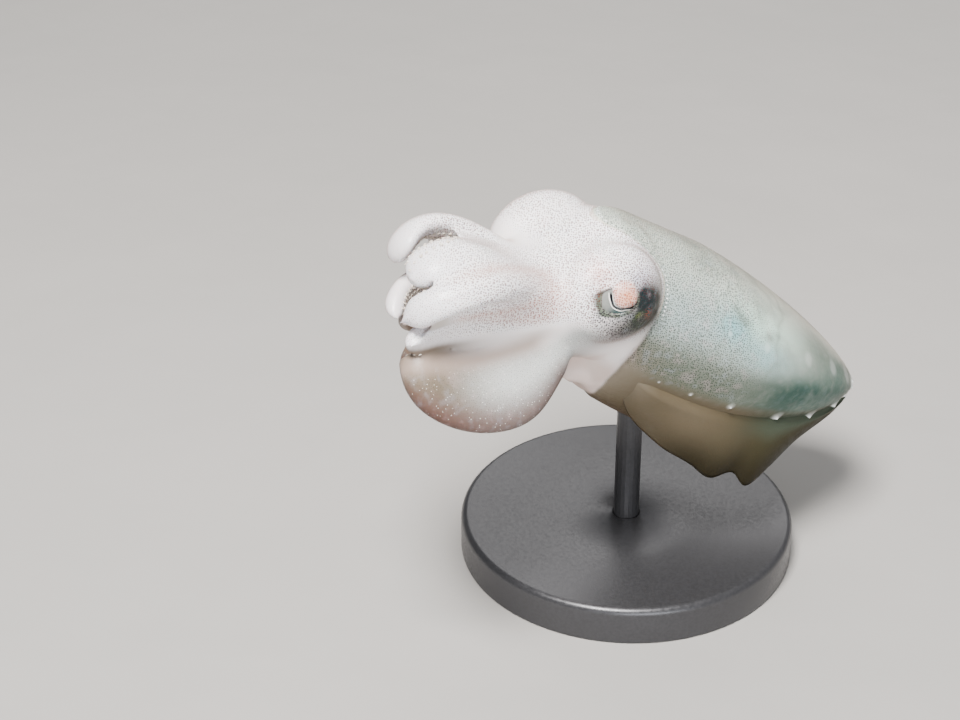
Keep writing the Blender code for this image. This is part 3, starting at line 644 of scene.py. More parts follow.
def web_form(first, second, reach, bulge):
    """Web between neighbouring arms: a straight blend across them, raised by a sine, to a share of
    their length that grows from its middle to its sides."""
    one, two = ARM_LINES[first], ARM_LINES[second]
    across = np.linspace(0, 1, 13)
    along = np.linspace(0, 1, 25)
    limit = reach * (1 + 0.25 * (2 * across - 1) ** 2)
    share = along[:, None] * limit[None]
    place = share * (len(one["share"]) - 1)
    index = np.clip(place.astype(int), 0, len(one["share"]) - 2)
    part = (place - index)[..., None]

    def read(line, key):
        return line[key][index] * (1 - part) + line[key][index + 1] * part

    blend = across[None, :, None]
    middle = read(one, "points") * (1 - blend) + read(two, "points") * blend
    outward = unit(read(one, "outward") * (1 - blend) + read(two, "outward") * blend)
    half = 0.8 - 0.5 * along[:, None, None] ** 2
    rise = 1.35 - half + bulge * np.sin(math.pi * blend)
    middle = middle + outward * rise * (1 - 0.5 * along[:, None, None] ** 2)
    upper, lower = middle + half * outward, middle - half * outward
    loop = np.concatenate((upper, lower[:, ::-1]), axis=1)
    root = loop[:1] - 2.0 * HEAD[0]
    return tube("web_form", np.concatenate((root, loop)))


# Skin


def merged(forms):
    """The forms as one surface of small even faces."""
    made = joined("skin", forms)
    remesh = made.modifiers.new("merge", "REMESH")
    remesh.mode = "VOXEL"
    remesh.voxel_size = VOXEL * MM
    graph = bpy.context.evaluated_depsgraph_get()
    mesh = bpy.data.meshes.new_from_object(made.evaluated_get(graph))
    made.modifiers.clear()
    made.data = mesh
    return made


def neighbour_mean(mesh):
    """A function that gives, from all points, the mean of each one's neighbours."""
    pairs = np.empty(len(mesh.edges) * 2, np.int32)
    mesh.edges.foreach_get("vertices", pairs)
    pairs = pairs.reshape(-1, 2)
    ends, others = np.concatenate((pairs, pairs[:, ::-1])).T
    count = len(mesh.vertices)
    number = np.bincount(ends, minlength=count)[:, None]

    def mean(points):
        sums = [np.bincount(ends, points[others, axis], count) for axis in range(3)]
        return np.stack(sums, axis=1) / number

    return mean


def relaxed(points, mean, weight, rounds):
    """Each round moves every point part of the way to the mean of its neighbours, then a little
    further back the other way, so that creases go and bulk stays."""
    for _ in range(rounds):
        for step in (0.6, -0.61):
            points = points + step * weight[:, None] * (mean(points) - points)
    return points


def fill_hollows(mesh, weight, rounds):
    """Each round moves the points of hollows, and only those, towards the mean of their
    neighbours along the skin's normal, so that grooves grow shallow and crests stay."""
    mean = neighbour_mean(mesh)
    for _ in range(rounds):
        points, normals = points_of(mesh), read_points(mesh, "normal")
        lift = np.maximum(np.sum((mean(points) - points) * normals, axis=1), 0)
        put_points(mesh, points + (0.9 * weight * lift)[:, None] * normals)


def eye_axes(side):
    """Centre of an eyeball, and rows forward, up and along the gaze."""
    gaze = unit(np.array(GAZES[side]) * (1, side, 1)) @ HEAD
    centre = from_head(np.array(EYE_AT) * (1, side, 1)) + EYEBALL_OUT * gaze
    ahead = unit(HEAD[0] - (HEAD[0] @ gaze) * gaze)
    rise = np.cross(gaze, ahead)
    rise = rise * np.sign(rise @ HEAD[2])
    return centre, np.array((ahead, rise, gaze))


def over_eye(points, side):
    """Millimetres forward and up over the eyeball's face, distance from its centre, and whether
    the point lies on the gaze's side."""
    centre, rows = eye_axes(side)
    away = points - centre
    distance = np.linalg.norm(away, axis=1)
    local = away @ rows.T / distance[:, None]
    return EYEBALL_RADIUS * local[:, 0], EYEBALL_RADIUS * local[:, 1], distance, local[:, 2]


def refined(mesh, spots):
    """Splits the faces within reach of the spots in three along each edge, for finer forms there."""
    shape = bmesh.new()
    shape.from_mesh(mesh)
    edges = set()
    middles = np.array([face.calc_center_median() for face in shape.faces]) / MM
    shape.faces.ensure_lookup_table()
    for spot, reach in spots:
        for index in np.flatnonzero(np.linalg.norm(middles - spot, axis=1) < reach):
            edges.update(shape.faces[index].edges)
    bmesh.ops.subdivide_edges(shape, edges=list(edges), cuts=2, use_grid_fill=True)
    shape.to_mesh(mesh)
    shape.free()


def papilla_spots():
    """Places of the papillae on the mantle, their directions and sizes."""
    for side in (1, -1):
        for station, around, size in PAPILLAE:
            angle = side * math.radians(around)
            spot = mantle_skin(station_back(station), angle)
            yield spot, unit(spot - mantle_skin(station_back(station), angle, 0.8)), size


def raised(points):
    """Papillae: small flared cones, high by a power of what is left of the way to their rim."""
    for spot, rise, size in papilla_spots():
        away = np.linalg.norm(points - spot, axis=1)
        left = np.clip(1 - away / (3 * size * PAPILLA_RADIUS), 0, 1)
        points = points + (size * PAPILLA_HEIGHT * left**2)[:, None] * rise
    return points


def lobe_place(ahead, rise):
    """0 at the middle of the lobe and 1 at its edge: a squarish oval below, straight sides above."""
    across = np.abs(ahead - LOBE_MIDDLE[0]) / LOBE_RADII[0]
    down = np.maximum(LOBE_MIDDLE[1] - rise, 0) / LOBE_RADII[1]
    return (across**2.6 + down**2.6) ** (1 / 2.6)


def opening_place(ahead, rise):
    """0 at the middle of the eye's opening and 1 at its edge."""
    (forward, up), (long, tall) = OPENING_MIDDLE, OPENING_RADII
    return np.hypot((ahead - forward) / long, (rise - up) / tall)


def lidded(points):
    """Inside the opening and outside the lobe the skin lies under the eyeball's face; the lobe
    swells over it; a low fold rises round the opening."""
    for side in (1, -1):
        centre, _ = eye_axes(side)
        ahead, rise, distance, facing = over_eye(points, side)
        opening = opening_place(ahead, rise)
        lobe = lobe_place(ahead, rise)
        near = ease(0.1, 0.35, facing) * ease(4.6, 3.6, distance)
        inside = ease(1.04, 0.96, opening) * near
        flap = ease(1.06, 0.94, lobe)
        low = EYEBALL_RADIUS - 0.3
        swollen = EYEBALL_RADIUS + 0.16 + 0.38 * np.sqrt(np.clip(1 - lobe**2, 0, 1))
        fold = EYEBALL_RADIUS + 0.1 + 0.07 * bell(opening - 1.2, 0.18)
        wanted = low + (swollen - low) * flap
        fold = np.maximum(fold, low + (swollen - low) * flap * ease(2.3, 1.2, rise))
        brim = ease(2.2, 1.1, opening) * near
        new = distance + (fold - distance) * brim * (1 - inside) * 0.8
        new = new + (wanted - new) * inside
        points = centre + (points - centre) * (new / distance)[:, None]
    return points


def joint_weight(points):
    """Where creases are smoothed: where the arms leave the head, and on the throat."""
    forward, _, high = to_head(points).T
    arms = bell(forward - 7.5, 5.5) * ease(-8.5, -6.5, high)
    throat = ease(-5.0, -7.0, high) * ease(9.0, 6.0, forward)
    return np.maximum(arms, throat * ease(-9.0, -6.0, forward))


def make_skin(material):
    """Forms merged and smoothed, hollows filled, then finer faces for lids and papillae."""
    forms = [mantle_form(), head_form(), funnel_form()]
    for side in (1, -1):
        centre = from_head(np.array(BULBS[side]) * (1, side, 1))
        forms.append(ball_form("bulb_form", centre, HEAD, np.array(BULB_RADII[side])))
    forms += [arm_form(name) for name in ARMS]
    forms += [web_form(*web) for web in WEBS]
    skin = merged(forms)
    mesh = skin.data
    mean = neighbour_mean(mesh)
    points = relaxed(points_of(mesh), mean, np.ones(len(mesh.vertices)), SKIN_ROUNDS)
    points = relaxed(points, mean, joint_weight(points), JOINT_ROUNDS)
    put_points(mesh, points)
    fill_hollows(mesh, hollow_weight(points), HOLLOW_ROUNDS)
    eyes = [(centre + EYEBALL_RADIUS * rows[2], FINE_ROUND_EYE) for centre, rows in map(eye_axes, (1, -1))]
    refined(mesh, eyes + [(spot, FINE_ROUND_PAPILLA) for spot, _, _ in papilla_spots()])
    points = points_of(mesh)
    points = relaxed(points, neighbour_mean(mesh), eye_nearness(points), EYE_ROUNDS)
    put_points(mesh, raised(lidded(points)))
    paint_skin(mesh)
    mesh.shade_smooth()
    mesh.materials.append(material)
    return skin


def hollow_weight(points):
    """Where hollows fill: between the arms on their outer side, short of their tips, on the cheeks
    and round the bulbs, and not at the mantle's edge, the funnel or the mouth."""
    forward, _, high = to_head(points).T
    weight = (0.45 + 0.55 * ease(-2.0, 1.5, forward)) * ease(-10.2, -9.0, high)
    arms = arm_nearness(points)
    nearest = np.min([found[0] for found in arms.values()], axis=0)
    for distance, share, out in arms.values():
        mine = ease(0.3, 0.0, distance - nearest) * ease(7.0, 8.0, forward)
        weight = weight * (1 - mine * (1 - ease(-0.3, 0.5, out) * ease(0.85, 0.55, share)))
    return weight


def eye_nearness(points):
    """1 within 3 mm of the front of an eyeball and 0 from 4.4 mm on."""
    near = np.zeros(len(points))
    for side in (1, -1):
        centre, rows = eye_axes(side)
        away = np.linalg.norm(points - centre - EYEBALL_RADIUS * rows[2], axis=1)
        near = np.maximum(near, ease(4.4, 3.0, away))
    return near


def arm_nearness(points):
    """Distance from each arm's path, the share of its length there, and how far outward."""
    found = {}
    for name, line in ARM_LINES.items():
        path, length = line["points"][::4], ARMS[name][5]
        gap = np.linalg.norm(points[:, None] - path[None], axis=2)
        nearest = gap.argmin(axis=1)
        away = points - path[nearest]
        out = np.sum(away * line["outward"][::4][nearest], axis=1)
        along = np.sum(away * line["travel"][::4][nearest], axis=1)
        share = np.clip(line["share"][::4][nearest] + along / length, 0, 1)
        found[name] = (gap.min(axis=1), share, out)
    return found


# Paint


class Coat:
    """Colour and masks of a mesh's points, each layer laid over the ones before."""

    def __init__(self, count, colour):
        self.tint = np.tile(np.array(colour, float), (count, 1))
        self.masks = {name: np.zeros(count) for name in MASKS}

    def mix(self, colour, mask):
        """Colour goes over to another, wholly where the mask is 1."""
        self.tint = self.tint + (np.array(colour) - self.tint) * np.clip(mask, 0, 1)[:, None]

    def thin(self, mask):
        """Dots go where the mask is 1."""
        self.masks["dots"] = self.masks["dots"] * (1 - mask)

    def wash(self, colour, mask, strength=1.0):
        """Another colour, and no dots."""
        self.mix(colour, strength * mask)
        self.thin(mask)

    def lift(self, name, values):
        """A mask becomes at least as large as the values."""
        self.masks[name] = np.maximum(self.masks[name], values)

    def store(self, mesh):
        put(mesh, "tint", np.insert(self.tint, 3, 1, axis=1))
        for name, values in self.masks.items():
            put(mesh, name, np.clip(values, 0, 1))


def over_mantle(points):
    """Millimetres back, angle round from the top and share of the mantle's radius."""
    away = (points - MANTLE_POINT) @ MANTLE.T
    back, left, up = -away[:, 0], away[:, 1], away[:, 2]
    width, above, below = mantle_radii(back)
    width = np.maximum(width, 0.1)
    height = np.maximum(np.where(up > 0, above, below), 0.1)
    top = np.maximum(np.cos(np.arctan2(left / width, up / height)), 0)
    up = up + TONGUE_DIP * np.maximum(DIP_START - back, 0) ** 2 * top
    return back, np.arctan2(left / width, up / height), np.hypot(left / width, up / height)


def mantle_colours(station, aside, lower):
    """White, with blue, mint and cyan patches, spots and two thin lines, and olive below the row of
    papillae. Painted shade makes the lower side grey, the rear darker, some patches low and behind
    teal, the olive darker towards the rear, and the belly brown with warm reflected light."""
    mantle = Coat(len(station), MANTLE_WHITE)

    def patch(where, around, long, wide):
        return bell(station - where, long) * bell(aside - around, wide)

    mantle.mix(MANTLE_BLUE, 0.9 * patch(0.2, 64, 0.22, 34))
    # Painted shade: grey on the mantle's lower side
    mantle.mix(MANTLE_LOW_SHADE, 0.85 * ease(60, COLOUR_ROW - 6, aside))
    mantle.mix(MANTLE_MINT, 0.8 * patch(0.43, 42, 0.09, 16) + 0.5 * patch(0.57, 38, 0.1, 16))
    mantle.mix(MANTLE_CYAN, 0.8 * patch(0.35, 52, 0.06, 12) + 0.6 * patch(0.5, 64, 0.12, 16))
    # Painted shade: darker towards the rear, and teal patches low and behind
    mantle.mix(MANTLE_REAR_SHADE, 0.95 * ease(0.5, 0.82, station) * ease(0, 40, aside))
    mantle.mix(MANTLE_TEAL_SHADE, 0.95 * patch(0.66, 90, 0.16, 24) + 0.4 * patch(0.82, 78, 0.1, 20))
    for *place, strength in MANTLE_SPOTS:
        mantle.mix(SPOT_GREY, strength * patch(*place))
    wander = 0.012 * np.sin(0.11 * aside) + 0.006 * np.sin(0.31 * aside + 1)
    for where, slope in MANTLE_LINES:
        line = bell(station - where + slope * aside / 90 - wander, 0.006)
        mantle.mix(SPOT_GREY, 0.3 * line * ease(100, 70, aside))
    mantle.mix(FIN_ROOT, lower)
    # Painted shade below the row of papillae towards the rear
    mantle.mix(SHADE_BELOW_ROW, lower * ease(0.5, 0.7, station))
    mantle.mix(BELLY_PALE, ease(0.25, 0.05, station) * ease(80, 108, aside))
    # Painted shade with warm reflected light under the belly
    mantle.mix(BELLY_SHADE, ease(COLOUR_ROW + 25, COLOUR_ROW + 60, aside) * ease(0.1, 0.3, station))
    return mantle.tint


def paint_mantle(coat, back, angle, on_mantle):
    """Mantle's colours, and dots, flecks and blotches above the row of papillae."""
    station = np.clip((back + MANTLE_AHEAD) / MANTLE_LENGTH, 0, 1)
    aside = np.degrees(np.abs(angle))
    soft = 7 - 3 * ease(0.2, 0.6, station)
    lower = ease(COLOUR_ROW - soft, COLOUR_ROW + soft, aside)
    upper = on_mantle * (1 - lower)
    coat.mix(mantle_colours(station, aside, lower), on_mantle)
    coat.thin(on_mantle)
    coat.masks["dots"] += upper * (0.25 + 0.85 * ease(0.6, 0.34, station))
    coat.lift("cool", on_mantle)
    coat.lift("fleck", 0.06 * upper)
    coat.lift("blotch", upper * ease(0.1, 0.4, station))


def between_arms(arms):
    """Masks of the pink grooves between the upper left arms, and of the webs between all arms."""
    grooves = webs = 0
    for first, second, _, _ in WEBS:
        (one, share, _), (two, other_share, _) = arms[first], arms[second]
        closer = np.minimum(one, two)
        if first in GROOVE_SHIFTS:
            groove = bell(one - two - GROOVE_SHIFTS[first], 1.1) * ease(4.2, 3.0, closer)
            grooves = np.maximum(grooves, groove * ease(0.9, 0.6, share))
        web = ease(5.0, 3.0, np.abs(one - two)) * ease(5.2, 4.2, closer)
        web = web * ease(0.88, 0.72, share) * ease(0.88, 0.72, other_share)
        webs = np.maximum(webs, web)
    return grooves, webs


def paint_flap(coat, line, farther, share, out, forward):
    """A lower arm's keel: white, brown painted shade in front and a painted shadow in its upper hollow,
    darker at its edge.
    """
    height = np.interp(share, line["share"], ARM_HALF_THICKNESS + line["blade"])
    own = ease(2.2, 1.0, farther)
    flap = own * ease(0.2, 2.0, out) * ease(1.0, 6.0, forward)
    edge = ease(0.45, 0.92, out / height)
    coat.mix(FLAP_WHITE, 0.85 * flap)
    # Painted shade in brown on the flap's front, and a painted shadow in the fold above it
    coat.mix(FLAP_FRONT_SHADE, 0.95 * own * ease(0.35, 0.85, share) * ease(7.0, 9.0, forward))
    coat.mix(FLAP_FOLD_SHADOW, 0.85 * own * bell(out - 0.7, 1.0) * ease(6.0, 10.0, forward))
    coat.mix(FLAP_EDGE, 0.85 * flap * edge)
    coat.masks["dots"] += (0.5 - coat.masks["dots"]) * flap
    coat.lift("cool", 0.8 * flap * (1 - edge))
    coat.lift("fleck", flap)


def paint_arms(coat, points, forward):
    """Pink grooves, a beige underside to the third arm, grey tips, brown inner faces and flaps."""
    arms = arm_nearness(points)
    grooves, webs = between_arms(arms)
    grooves = grooves * ease(5.0, 8.0, forward)
    coat.mix(GROOVE_PINK, 0.55 * grooves)
    coat.lift("warm", 0.8 * grooves)
    under = ease(-2.8, -1.2, arms["left_3"][0] - arms["left_4"][0])
    coat.wash(PINK_BEIGE, under * ease(4.0, 7.0, forward), 0.5)
    nearest = np.min([found[0] for found in arms.values()], axis=0)
    for name, (distance, share, out) in arms.items():
        mine = ease(0.25, 0.0, distance - nearest) * ease(7.0, 9.0, forward)
        if name.endswith("4"):
            paint_flap(coat, ARM_LINES[name], distance - nearest, share, out, forward)
        else:
            tip = mine * ease(0.55, 0.95, share)
            coat.mix(ARM_GREY, 0.4 * tip)
            coat.thin(0.35 * tip)
        coat.wash(ARM_INNER, mine * ease(-0.5, -1.1, out) * (1 - webs), 0.7)


def paint_eye(coat, points, side):
    """Grey ring, patches of painted shade behind and below, brim, warm lobe with a painted shadow
    under it, and blush ahead and above.
    """
    centre, rows = eye_axes(side)
    ahead, rise, distance, _ = over_eye(points, side)
    wide, high, deep = ((points - centre) @ rows.T).T
    near = ease(-5.5, -4.0, deep) * ease(7.0, 5.5, distance)
    reach = np.hypot(wide, high + 1.0)
    lobe = np.hypot((ahead - LOBE_MIDDLE[0]) / 1.1, (rise - LOBE_MIDDLE[1]) / 1.15)
    on_lobe = ease(1.15, 0.8, lobe) * near * ease(4.4, 3.6, distance)
    beside = near * (1 - on_lobe)

    def patch(strength, forward, up, long, tall):
        return strength * beside * bell(wide - forward, long) * bell(high - up, tall)

    coat.mix(EYE_GREY, 0.5 * beside * ease(4.2, 2.0, reach))
    # The eye patches; the teal, green and dark grey ones are painted shade
    for colour, patches in EYE_PATCHES:
        coat.mix(colour, sum(patch(*sizes) for sizes in patches))
    brim = beside * ease(3.6, 3.0, distance) * ease(1.4, 0.6, rise)
    coat.mix(EYE_BRIM, 1.3 * brim * ease(1.35, 1.15, opening_place(ahead, rise)))
    coat.mix(LOBE_PINK, 0.8 * on_lobe)
    coat.mix(LOBE_ORANGE, on_lobe * bell(ahead, 0.8) * bell(rise - 0.35, 0.7))
    # Painted shadow under the lobe
    coat.mix(EYE_SHADE, 0.9 * on_lobe * bell(ahead + 0.6, 0.5) * bell(rise + 0.4, 0.3))
    blush = near * bell(wide - 1.9, 1.2) * bell(high - 2.7, 1.2)
    coat.mix(BLUSH, 0.6 * blush)
    ring = near * bell(reach - 2.8, 0.9) * ease(-0.2, 1.4, wide)
    embers = patch(*EMBERS)
    for warmth in (on_lobe, 0.8 * blush, 0.8 * ring, embers):
        coat.lift("warm", warmth)
    around = beside * ease(5.0, 2.2, reach) * (1 - 0.8 * np.clip(embers, 0, 1))
    coat.lift("dark", around * (0.5 + 0.5 * ease(1.5, -1.0, high)))


def paint_papillae(coat, points):
    """White tips without dots."""
    for spot, rise, size in papilla_spots():
        away = points - spot
        out = away @ rise
        aside = np.linalg.norm(away - out[:, None] * rise, axis=1) / size
        tip = ease(0.7, 0.1, aside) * ease(0.1, 0.5, out / size)
        coat.mix(PAPILLA_WHITE, tip + 0.2 * ease(0.9, 0.3, aside))
        coat.thin(ease(0.9, 0.4, aside))


def paint_skin(mesh):
    """Colour and masks as smooth steps of the place on the body: down and back on the head, behind
    the mantle's edge and round from its top, along and round each arm, and away from the eyes."""
    points = points_of(mesh)
    forward, _, high = to_head(points).T
    back, angle, ratio = over_mantle(points)
    behind = back - mantle_edge(angle)
    on_mantle = ease(0.93, 0.97, ratio) * ease(-0.3, 0.1, behind)
    on_mantle = np.maximum(on_mantle, ease(8.0, 10.0, back))
    coat = Coat(len(points), PEARL)
    coat.masks["dots"] += 1
    coat.wash(PINK_BEIGE, ease(-2.8, -4.8, high) * ease(8.5, 5.0, forward), 0.6)
    coat.wash(COLLAR, ease(0.0, -3.0, forward) * ease(1.0, -4.5, high), 0.9)
    paint_mantle(coat, back, angle, on_mantle)
    funnel = ease(-6.8, -8.8, high) * ease(-7.0, -4.5, forward)
    coat.wash(FUNNEL_PINK, funnel * (1 - on_mantle))
    paint_arms(coat, points, forward)
    for side in (1, -1):
        paint_eye(coat, points, side)
    paint_papillae(coat, points)
    coat.store(mesh)
    put(mesh, "place", points @ DOT_PLANES.T * MM)
    put(mesh, "facing", read_points(mesh, "normal") @ DOT_PLANES.T)
    put(mesh, "margin", np.where(ratio > 0.9, behind, FAR))
    put(mesh, "around", angle * MANTLE_HALF_WIDTH)


# Looks


class Looks:
    """Adds nodes to a material. An input's value is a number, a colour or another node's socket."""

    def __init__(self, name):
        self.material = bpy.data.materials.new(name)
        self.material.use_nodes = True
        tree = self.material.node_tree
        self.nodes, self.links = tree.nodes, tree.links
        self.place = self.add("TexCoord")["Object"]

    def fill(self, node, inputs):
        """Sets a node's inputs, by name or number."""
        for key, value in dict(inputs).items():
            socket = node.inputs[key]
            if isinstance(value, bpy.types.NodeSocket):
                self.links.new(value, socket)
            elif isinstance(value, tuple) and socket.type == "RGBA":
                socket.default_value = value + (1,)
            else:
                socket.default_value = value

    def add(self, kind, inputs=(), **settings):
        """Outputs of a new node."""
        node = self.nodes.new("ShaderNode" + kind)
        for name, value in settings.items():
            setattr(node, name, value)
        self.fill(node, inputs)
        return node.outputs

    def maths(self, kind, *values):
        return self.add("Math", dict(enumerate(values)), operation=kind)[0]

    def product(self, first, *others):
        for value in others:
            first = self.maths("MULTIPLY", first, value)
        return first

    def step(self, value, low, high, to_low=0.0, to_high=1.0):
        """Smooth step from to_low at low to to_high at high."""
        ends = {"From Min": low, "From Max": high, "To Min": to_low, "To Max": to_high}
        return self.add("MapRange", {"Value": value, **ends}, interpolation_type="SMOOTHSTEP")["Result"]

    def band(self, value, middle, half):
        """1 where the value is at the middle of the band, 0 from its edges on."""
        away = self.maths("ABSOLUTE", self.maths("SUBTRACT", value, middle))
        return self.step(away, half, 0.35 * half)

    def mix(self, factor, first, second, blend="MIX"):
        inputs = {0: factor, 6: first, 7: second}
        return self.add("Mix", inputs, data_type="RGBA", blend_type=blend)[2]

    def noise(self, scale, detail=3.0, roughness=0.5):
        inputs = {"Vector": self.place, "Scale": scale, "Detail": detail, "Roughness": roughness}
        return self.add("TexNoise", inputs)["Fac"]

    def attribute(self, name, output="Fac"):
        return self.add("Attribute", attribute_name=name)[output]

    def bump(self, height, strength, distance):
        return self.add("Bump", {"Height": height, "Strength": strength, "Distance": distance})["Normal"]

    def finish(self, inputs):
        """The material, with the inputs of its shader."""
        self.fill(self.nodes["Principled BSDF"], inputs)
        return self.material


def chromatophores(look, amount):
    """Round dots in the middles of fine flat cells, each of its own size, and three random numbers
    for each. The cells lie on three planes, and the plane that the skin faces most shows."""
    place = look.add("SeparateXYZ", {0: look.attribute("place", "Vector")})
    facing = look.add("SeparateXYZ", {0: look.attribute("facing", "Vector")})
    depths, colours = [], []
    for first, second in ((1, 2), (0, 2), (0, 1)):
        flat = look.add("CombineXYZ", {0: place[first], 1: place[second]})[0]
        grid = {"Vector": flat, "Scale": DOT_SCALE, "Randomness": DOT_SCATTER}
        cells = look.add("TexVoronoi", grid, voronoi_dimensions="2D")
        chance = look.add("SeparateColor", {"Color": cells["Color"]})[0]
        size = look.maths("MULTIPLY_ADD", chance, DOT_SPREAD, DOT_LEAST)
        depths.append(look.maths("SUBTRACT", look.product(size, amount), cells["Distance"]))
        colours.append(cells["Color"])
    shown = [look.maths("ABSOLUTE", facing[axis]) for axis in range(3)]
    side = look.maths("GREATER_THAN", shown[1], shown[2])
    main_plane = look.maths("GREATER_THAN", shown[0], 0.6)
    depth, colour = (
        look.mix(main_plane, look.mix(side, each[2], each[1]), each[0]) for each in (depths, colours)
    )
    return look.step(depth, 0.0, 0.05), look.add("SeparateColor", {"Color": colour})


def skin_material():
    """Painted tint with grey and pale clouds, pink and blue sheen, chromatophores and white flecks,
    a pale rim and a row of beads on the mantle's edge, and painted shade: a darker brim where it
    turns away from the camera."""
    look = Looks("skin")
    tint = look.attribute("tint", "Color")
    amount, dark, warm, blotch, cool, fleck = (look.attribute(name) for name in MASKS)
    cloud = look.product(look.step(look.noise(260, 4, 0.6), 0.45, 0.72), blotch, 0.55)
    colour = look.mix(cloud, tint, MOTTLE_GREY)
    pale = look.product(look.step(look.noise(420), 0.55, 0.75), blotch, 0.06)
    colour = look.mix(pale, colour, CLOUD_WHITE)
    sheen, pearly = look.noise(900, 2), look.product(amount, 0.14)
    for low, high, shine in SHEENS:
        colour = look.mix(look.product(look.step(sheen, low, high), pearly), colour, shine)

    swollen = look.maths("MULTIPLY_ADD", dark, 0.18, look.maths("MULTIPLY_ADD", warm, 0.08, amount))
    dots, chance = chromatophores(look, swollen)
    pigment = look.mix(chance[1], PIGMENT_BROWN, PIGMENT_RED)
    for mask, wanted in ((cool, PIGMENT_GREEN), (warm, PIGMENT_ORANGE), (dark, PIGMENT_BLACK)):
        pigment = look.mix(mask, pigment, wanted)
    colour = look.mix(look.product(dots, look.maths("MULTIPLY_ADD", dark, 0.08, 0.9)), colour, pigment)
    flecks = look.product(look.maths("GREATER_THAN", chance[2], 0.9), fleck, dots)
    colour = look.mix(flecks, colour, FLECK_WHITE)

    margin, around = look.attribute("margin"), look.attribute("around")
    over_back = look.step(look.maths("ABSOLUTE", around), 11.5, 9.0)
    rim = look.product(look.band(margin, 0.02, 0.16), over_back, 0.55)
    colour = look.mix(rim, colour, RIM)
    beat = look.maths("SINE", look.product(around, math.tau / BEAD_SPACING))
    beads = look.product(look.band(margin, BEADS_BACK, BEAD_RADIUS), look.step(beat, 0.2, 0.7), over_back)
    colour = look.mix(beads, colour, BEADS)
    # Painted shade: darker where the skin turns away from the camera
    slant = look.add("LayerWeight", {"Blend": 0.5})["Facing"]
    colour = look.mix(look.step(slant, 0.62, 0.98, 0.0, 0.75), colour, OUTLINE_SHADE, "MULTIPLY")

    bright = look.add("RGBToBW", {"Color": tint})["Val"]
    grain = look.maths("MULTIPLY_ADD", dots, 0.6, look.noise(2600, 3, 0.6))
    return look.finish({
        "Base Color": colour,
        "Roughness": look.step(look.noise(1500, 3, 0.6), 0.3, 0.7, 0.34, 0.5),
        "Normal": look.bump(grain, 0.35, 0.00006),
        "Subsurface Weight": 0.12,
        "Subsurface Radius": (0.0007, 0.00045, 0.00035),
        "Subsurface Scale": 1.0,
        "Specular IOR Level": look.step(bright, 0.0, 0.45, 0.12, 0.5),
        "Coat Weight": look.step(bright, 0.0, 0.45, 0.02, 0.24),
        "Coat Roughness": 0.28,
    })


def plain_material(name, first, second, scale, roughness, metallic=0.0):
    """Two colours clouded into each other at a scale, with roughness that follows and fine bumps."""
    look = Looks(name)
    cloud = look.noise(scale, 4, 0.6)
    return look.finish({
        "Base Color": look.mix(look.step(cloud, 0.3, 0.7), first, second),
        "Roughness": look.step(cloud, 0.3, 0.7, 0.8 * roughness, 1.2 * roughness),
        "Normal": look.bump(look.noise(6 * scale), 0.1, 0.05 / scale),
        "Metallic": metallic,
    })


# Fins


def fin_form(name, side, material):
    """Sheet carried along the root, its angle growing steadily from root to margin, its thickness
    falling the same way, with both faces and a closed rim."""
    share = np.linspace(0, 1, 150)
    step = np.linspace(-0.16, 1, 22)
    width = smooth_curve(FIN_WIDTHS, share)[:, 0]
    droop = smooth_curve(FIN_DROOPS, share)[:, 0]
    back = station_back(FIN_START + (FIN_END - FIN_START) * share)
    angle = side * math.radians(ROW_ANGLE + FIN_BELOW_ROW)
    skin = mantle_skin(back, angle)
    outward = unit(skin - mantle_skin(back, angle, 0.8))
    root = skin + (FIN_ROOT_OFFSET - 0.7 * ease(0.16, 0.0, share))[:, None] * outward
    aim = np.radians(droop[:, None] + FIN_CURL * np.maximum(step, 0))
    way = side * np.cos(aim)[..., None] * MANTLE[1] - np.sin(aim)[..., None] * MANTLE[2]
    free = np.cumsum(np.where(step > 0, 1.0, 0.0)[None, :, None] * way, axis=1) * np.diff(step)[0]
    middle = root[:, None] + free * width[:, None, None]
    upward = unit(mantle_skin(back, angle * 0.9) - skin)[:, None]
    middle = middle + np.maximum(-step, 0)[None, :, None] * (4.0 * upward - 4.5 * outward[:, None])
    normal = unit(np.cross(np.gradient(middle, axis=0), np.gradient(middle, axis=1)))
    wave = FIN_RIPPLE_HEIGHT * np.sin(math.tau * FIN_RIPPLES * share + 1.3)
    ripple = wave[:, None] * np.clip(step, 0, 1)[None] ** 2
    middle = middle + ripple[..., None] * normal
    thick, thin = FIN_HALF_THICKNESS
    half = (thick - (thick - thin) * np.clip(step, 0, 1) ** 0.7) * ease(-0.17, 0.05, step)
    half = np.maximum(half[None] * ease(-0.02, 0.1, share)[:, None], 0.03)
    upper = middle + half[..., None] * normal
    lower = middle - half[..., None] * normal
    made = tube(name, np.concatenate((upper, lower[:, ::-1]), axis=1), material)
    way_out = np.tile(np.concatenate((step, step[::-1])), (len(share), 1)).ravel()
    place = np.repeat(share, 2 * len(step))
    coat = Coat(len(place), FIN_ROOT)
    coat.mix(BELLY_PALE, 0.8 * ease(0.16, 0.0, place))
    # Painted shade on the fin: darker to the rear, near its root towards the rear, and at its margin
    coat.mix(FIN_REAR_SHADE, ease(0.25, 0.7, place))
    coat.mix(SHADE_BELOW_ROW, ease(0.45, 0.7, place) * ease(0.35, 0.0, way_out))
    coat.mix(FIN_MARGIN_SHADE, ease(0.1, 1.0, way_out) * (0.25 + 0.75 * ease(0.1, 0.5, place)))
    coat.store(made.data)
    put(made.data, "margin", 0 * place + FAR)
    put(made.data, "around", 0 * place)
    return made


# Eyes


def on_eyeball(ahead, rise, lift, side):
    """World points lifted off the eyeball's face at millimetres forward and up over it."""
    centre, rows = eye_axes(side)
    out = np.sqrt(np.maximum(EYEBALL_RADIUS**2 - ahead**2 - rise**2, 0.01))
    local = np.stack((ahead, rise, out), axis=-1) / EYEBALL_RADIUS
    return (local * (EYEBALL_RADIUS + lift)[..., None]) @ rows + centre


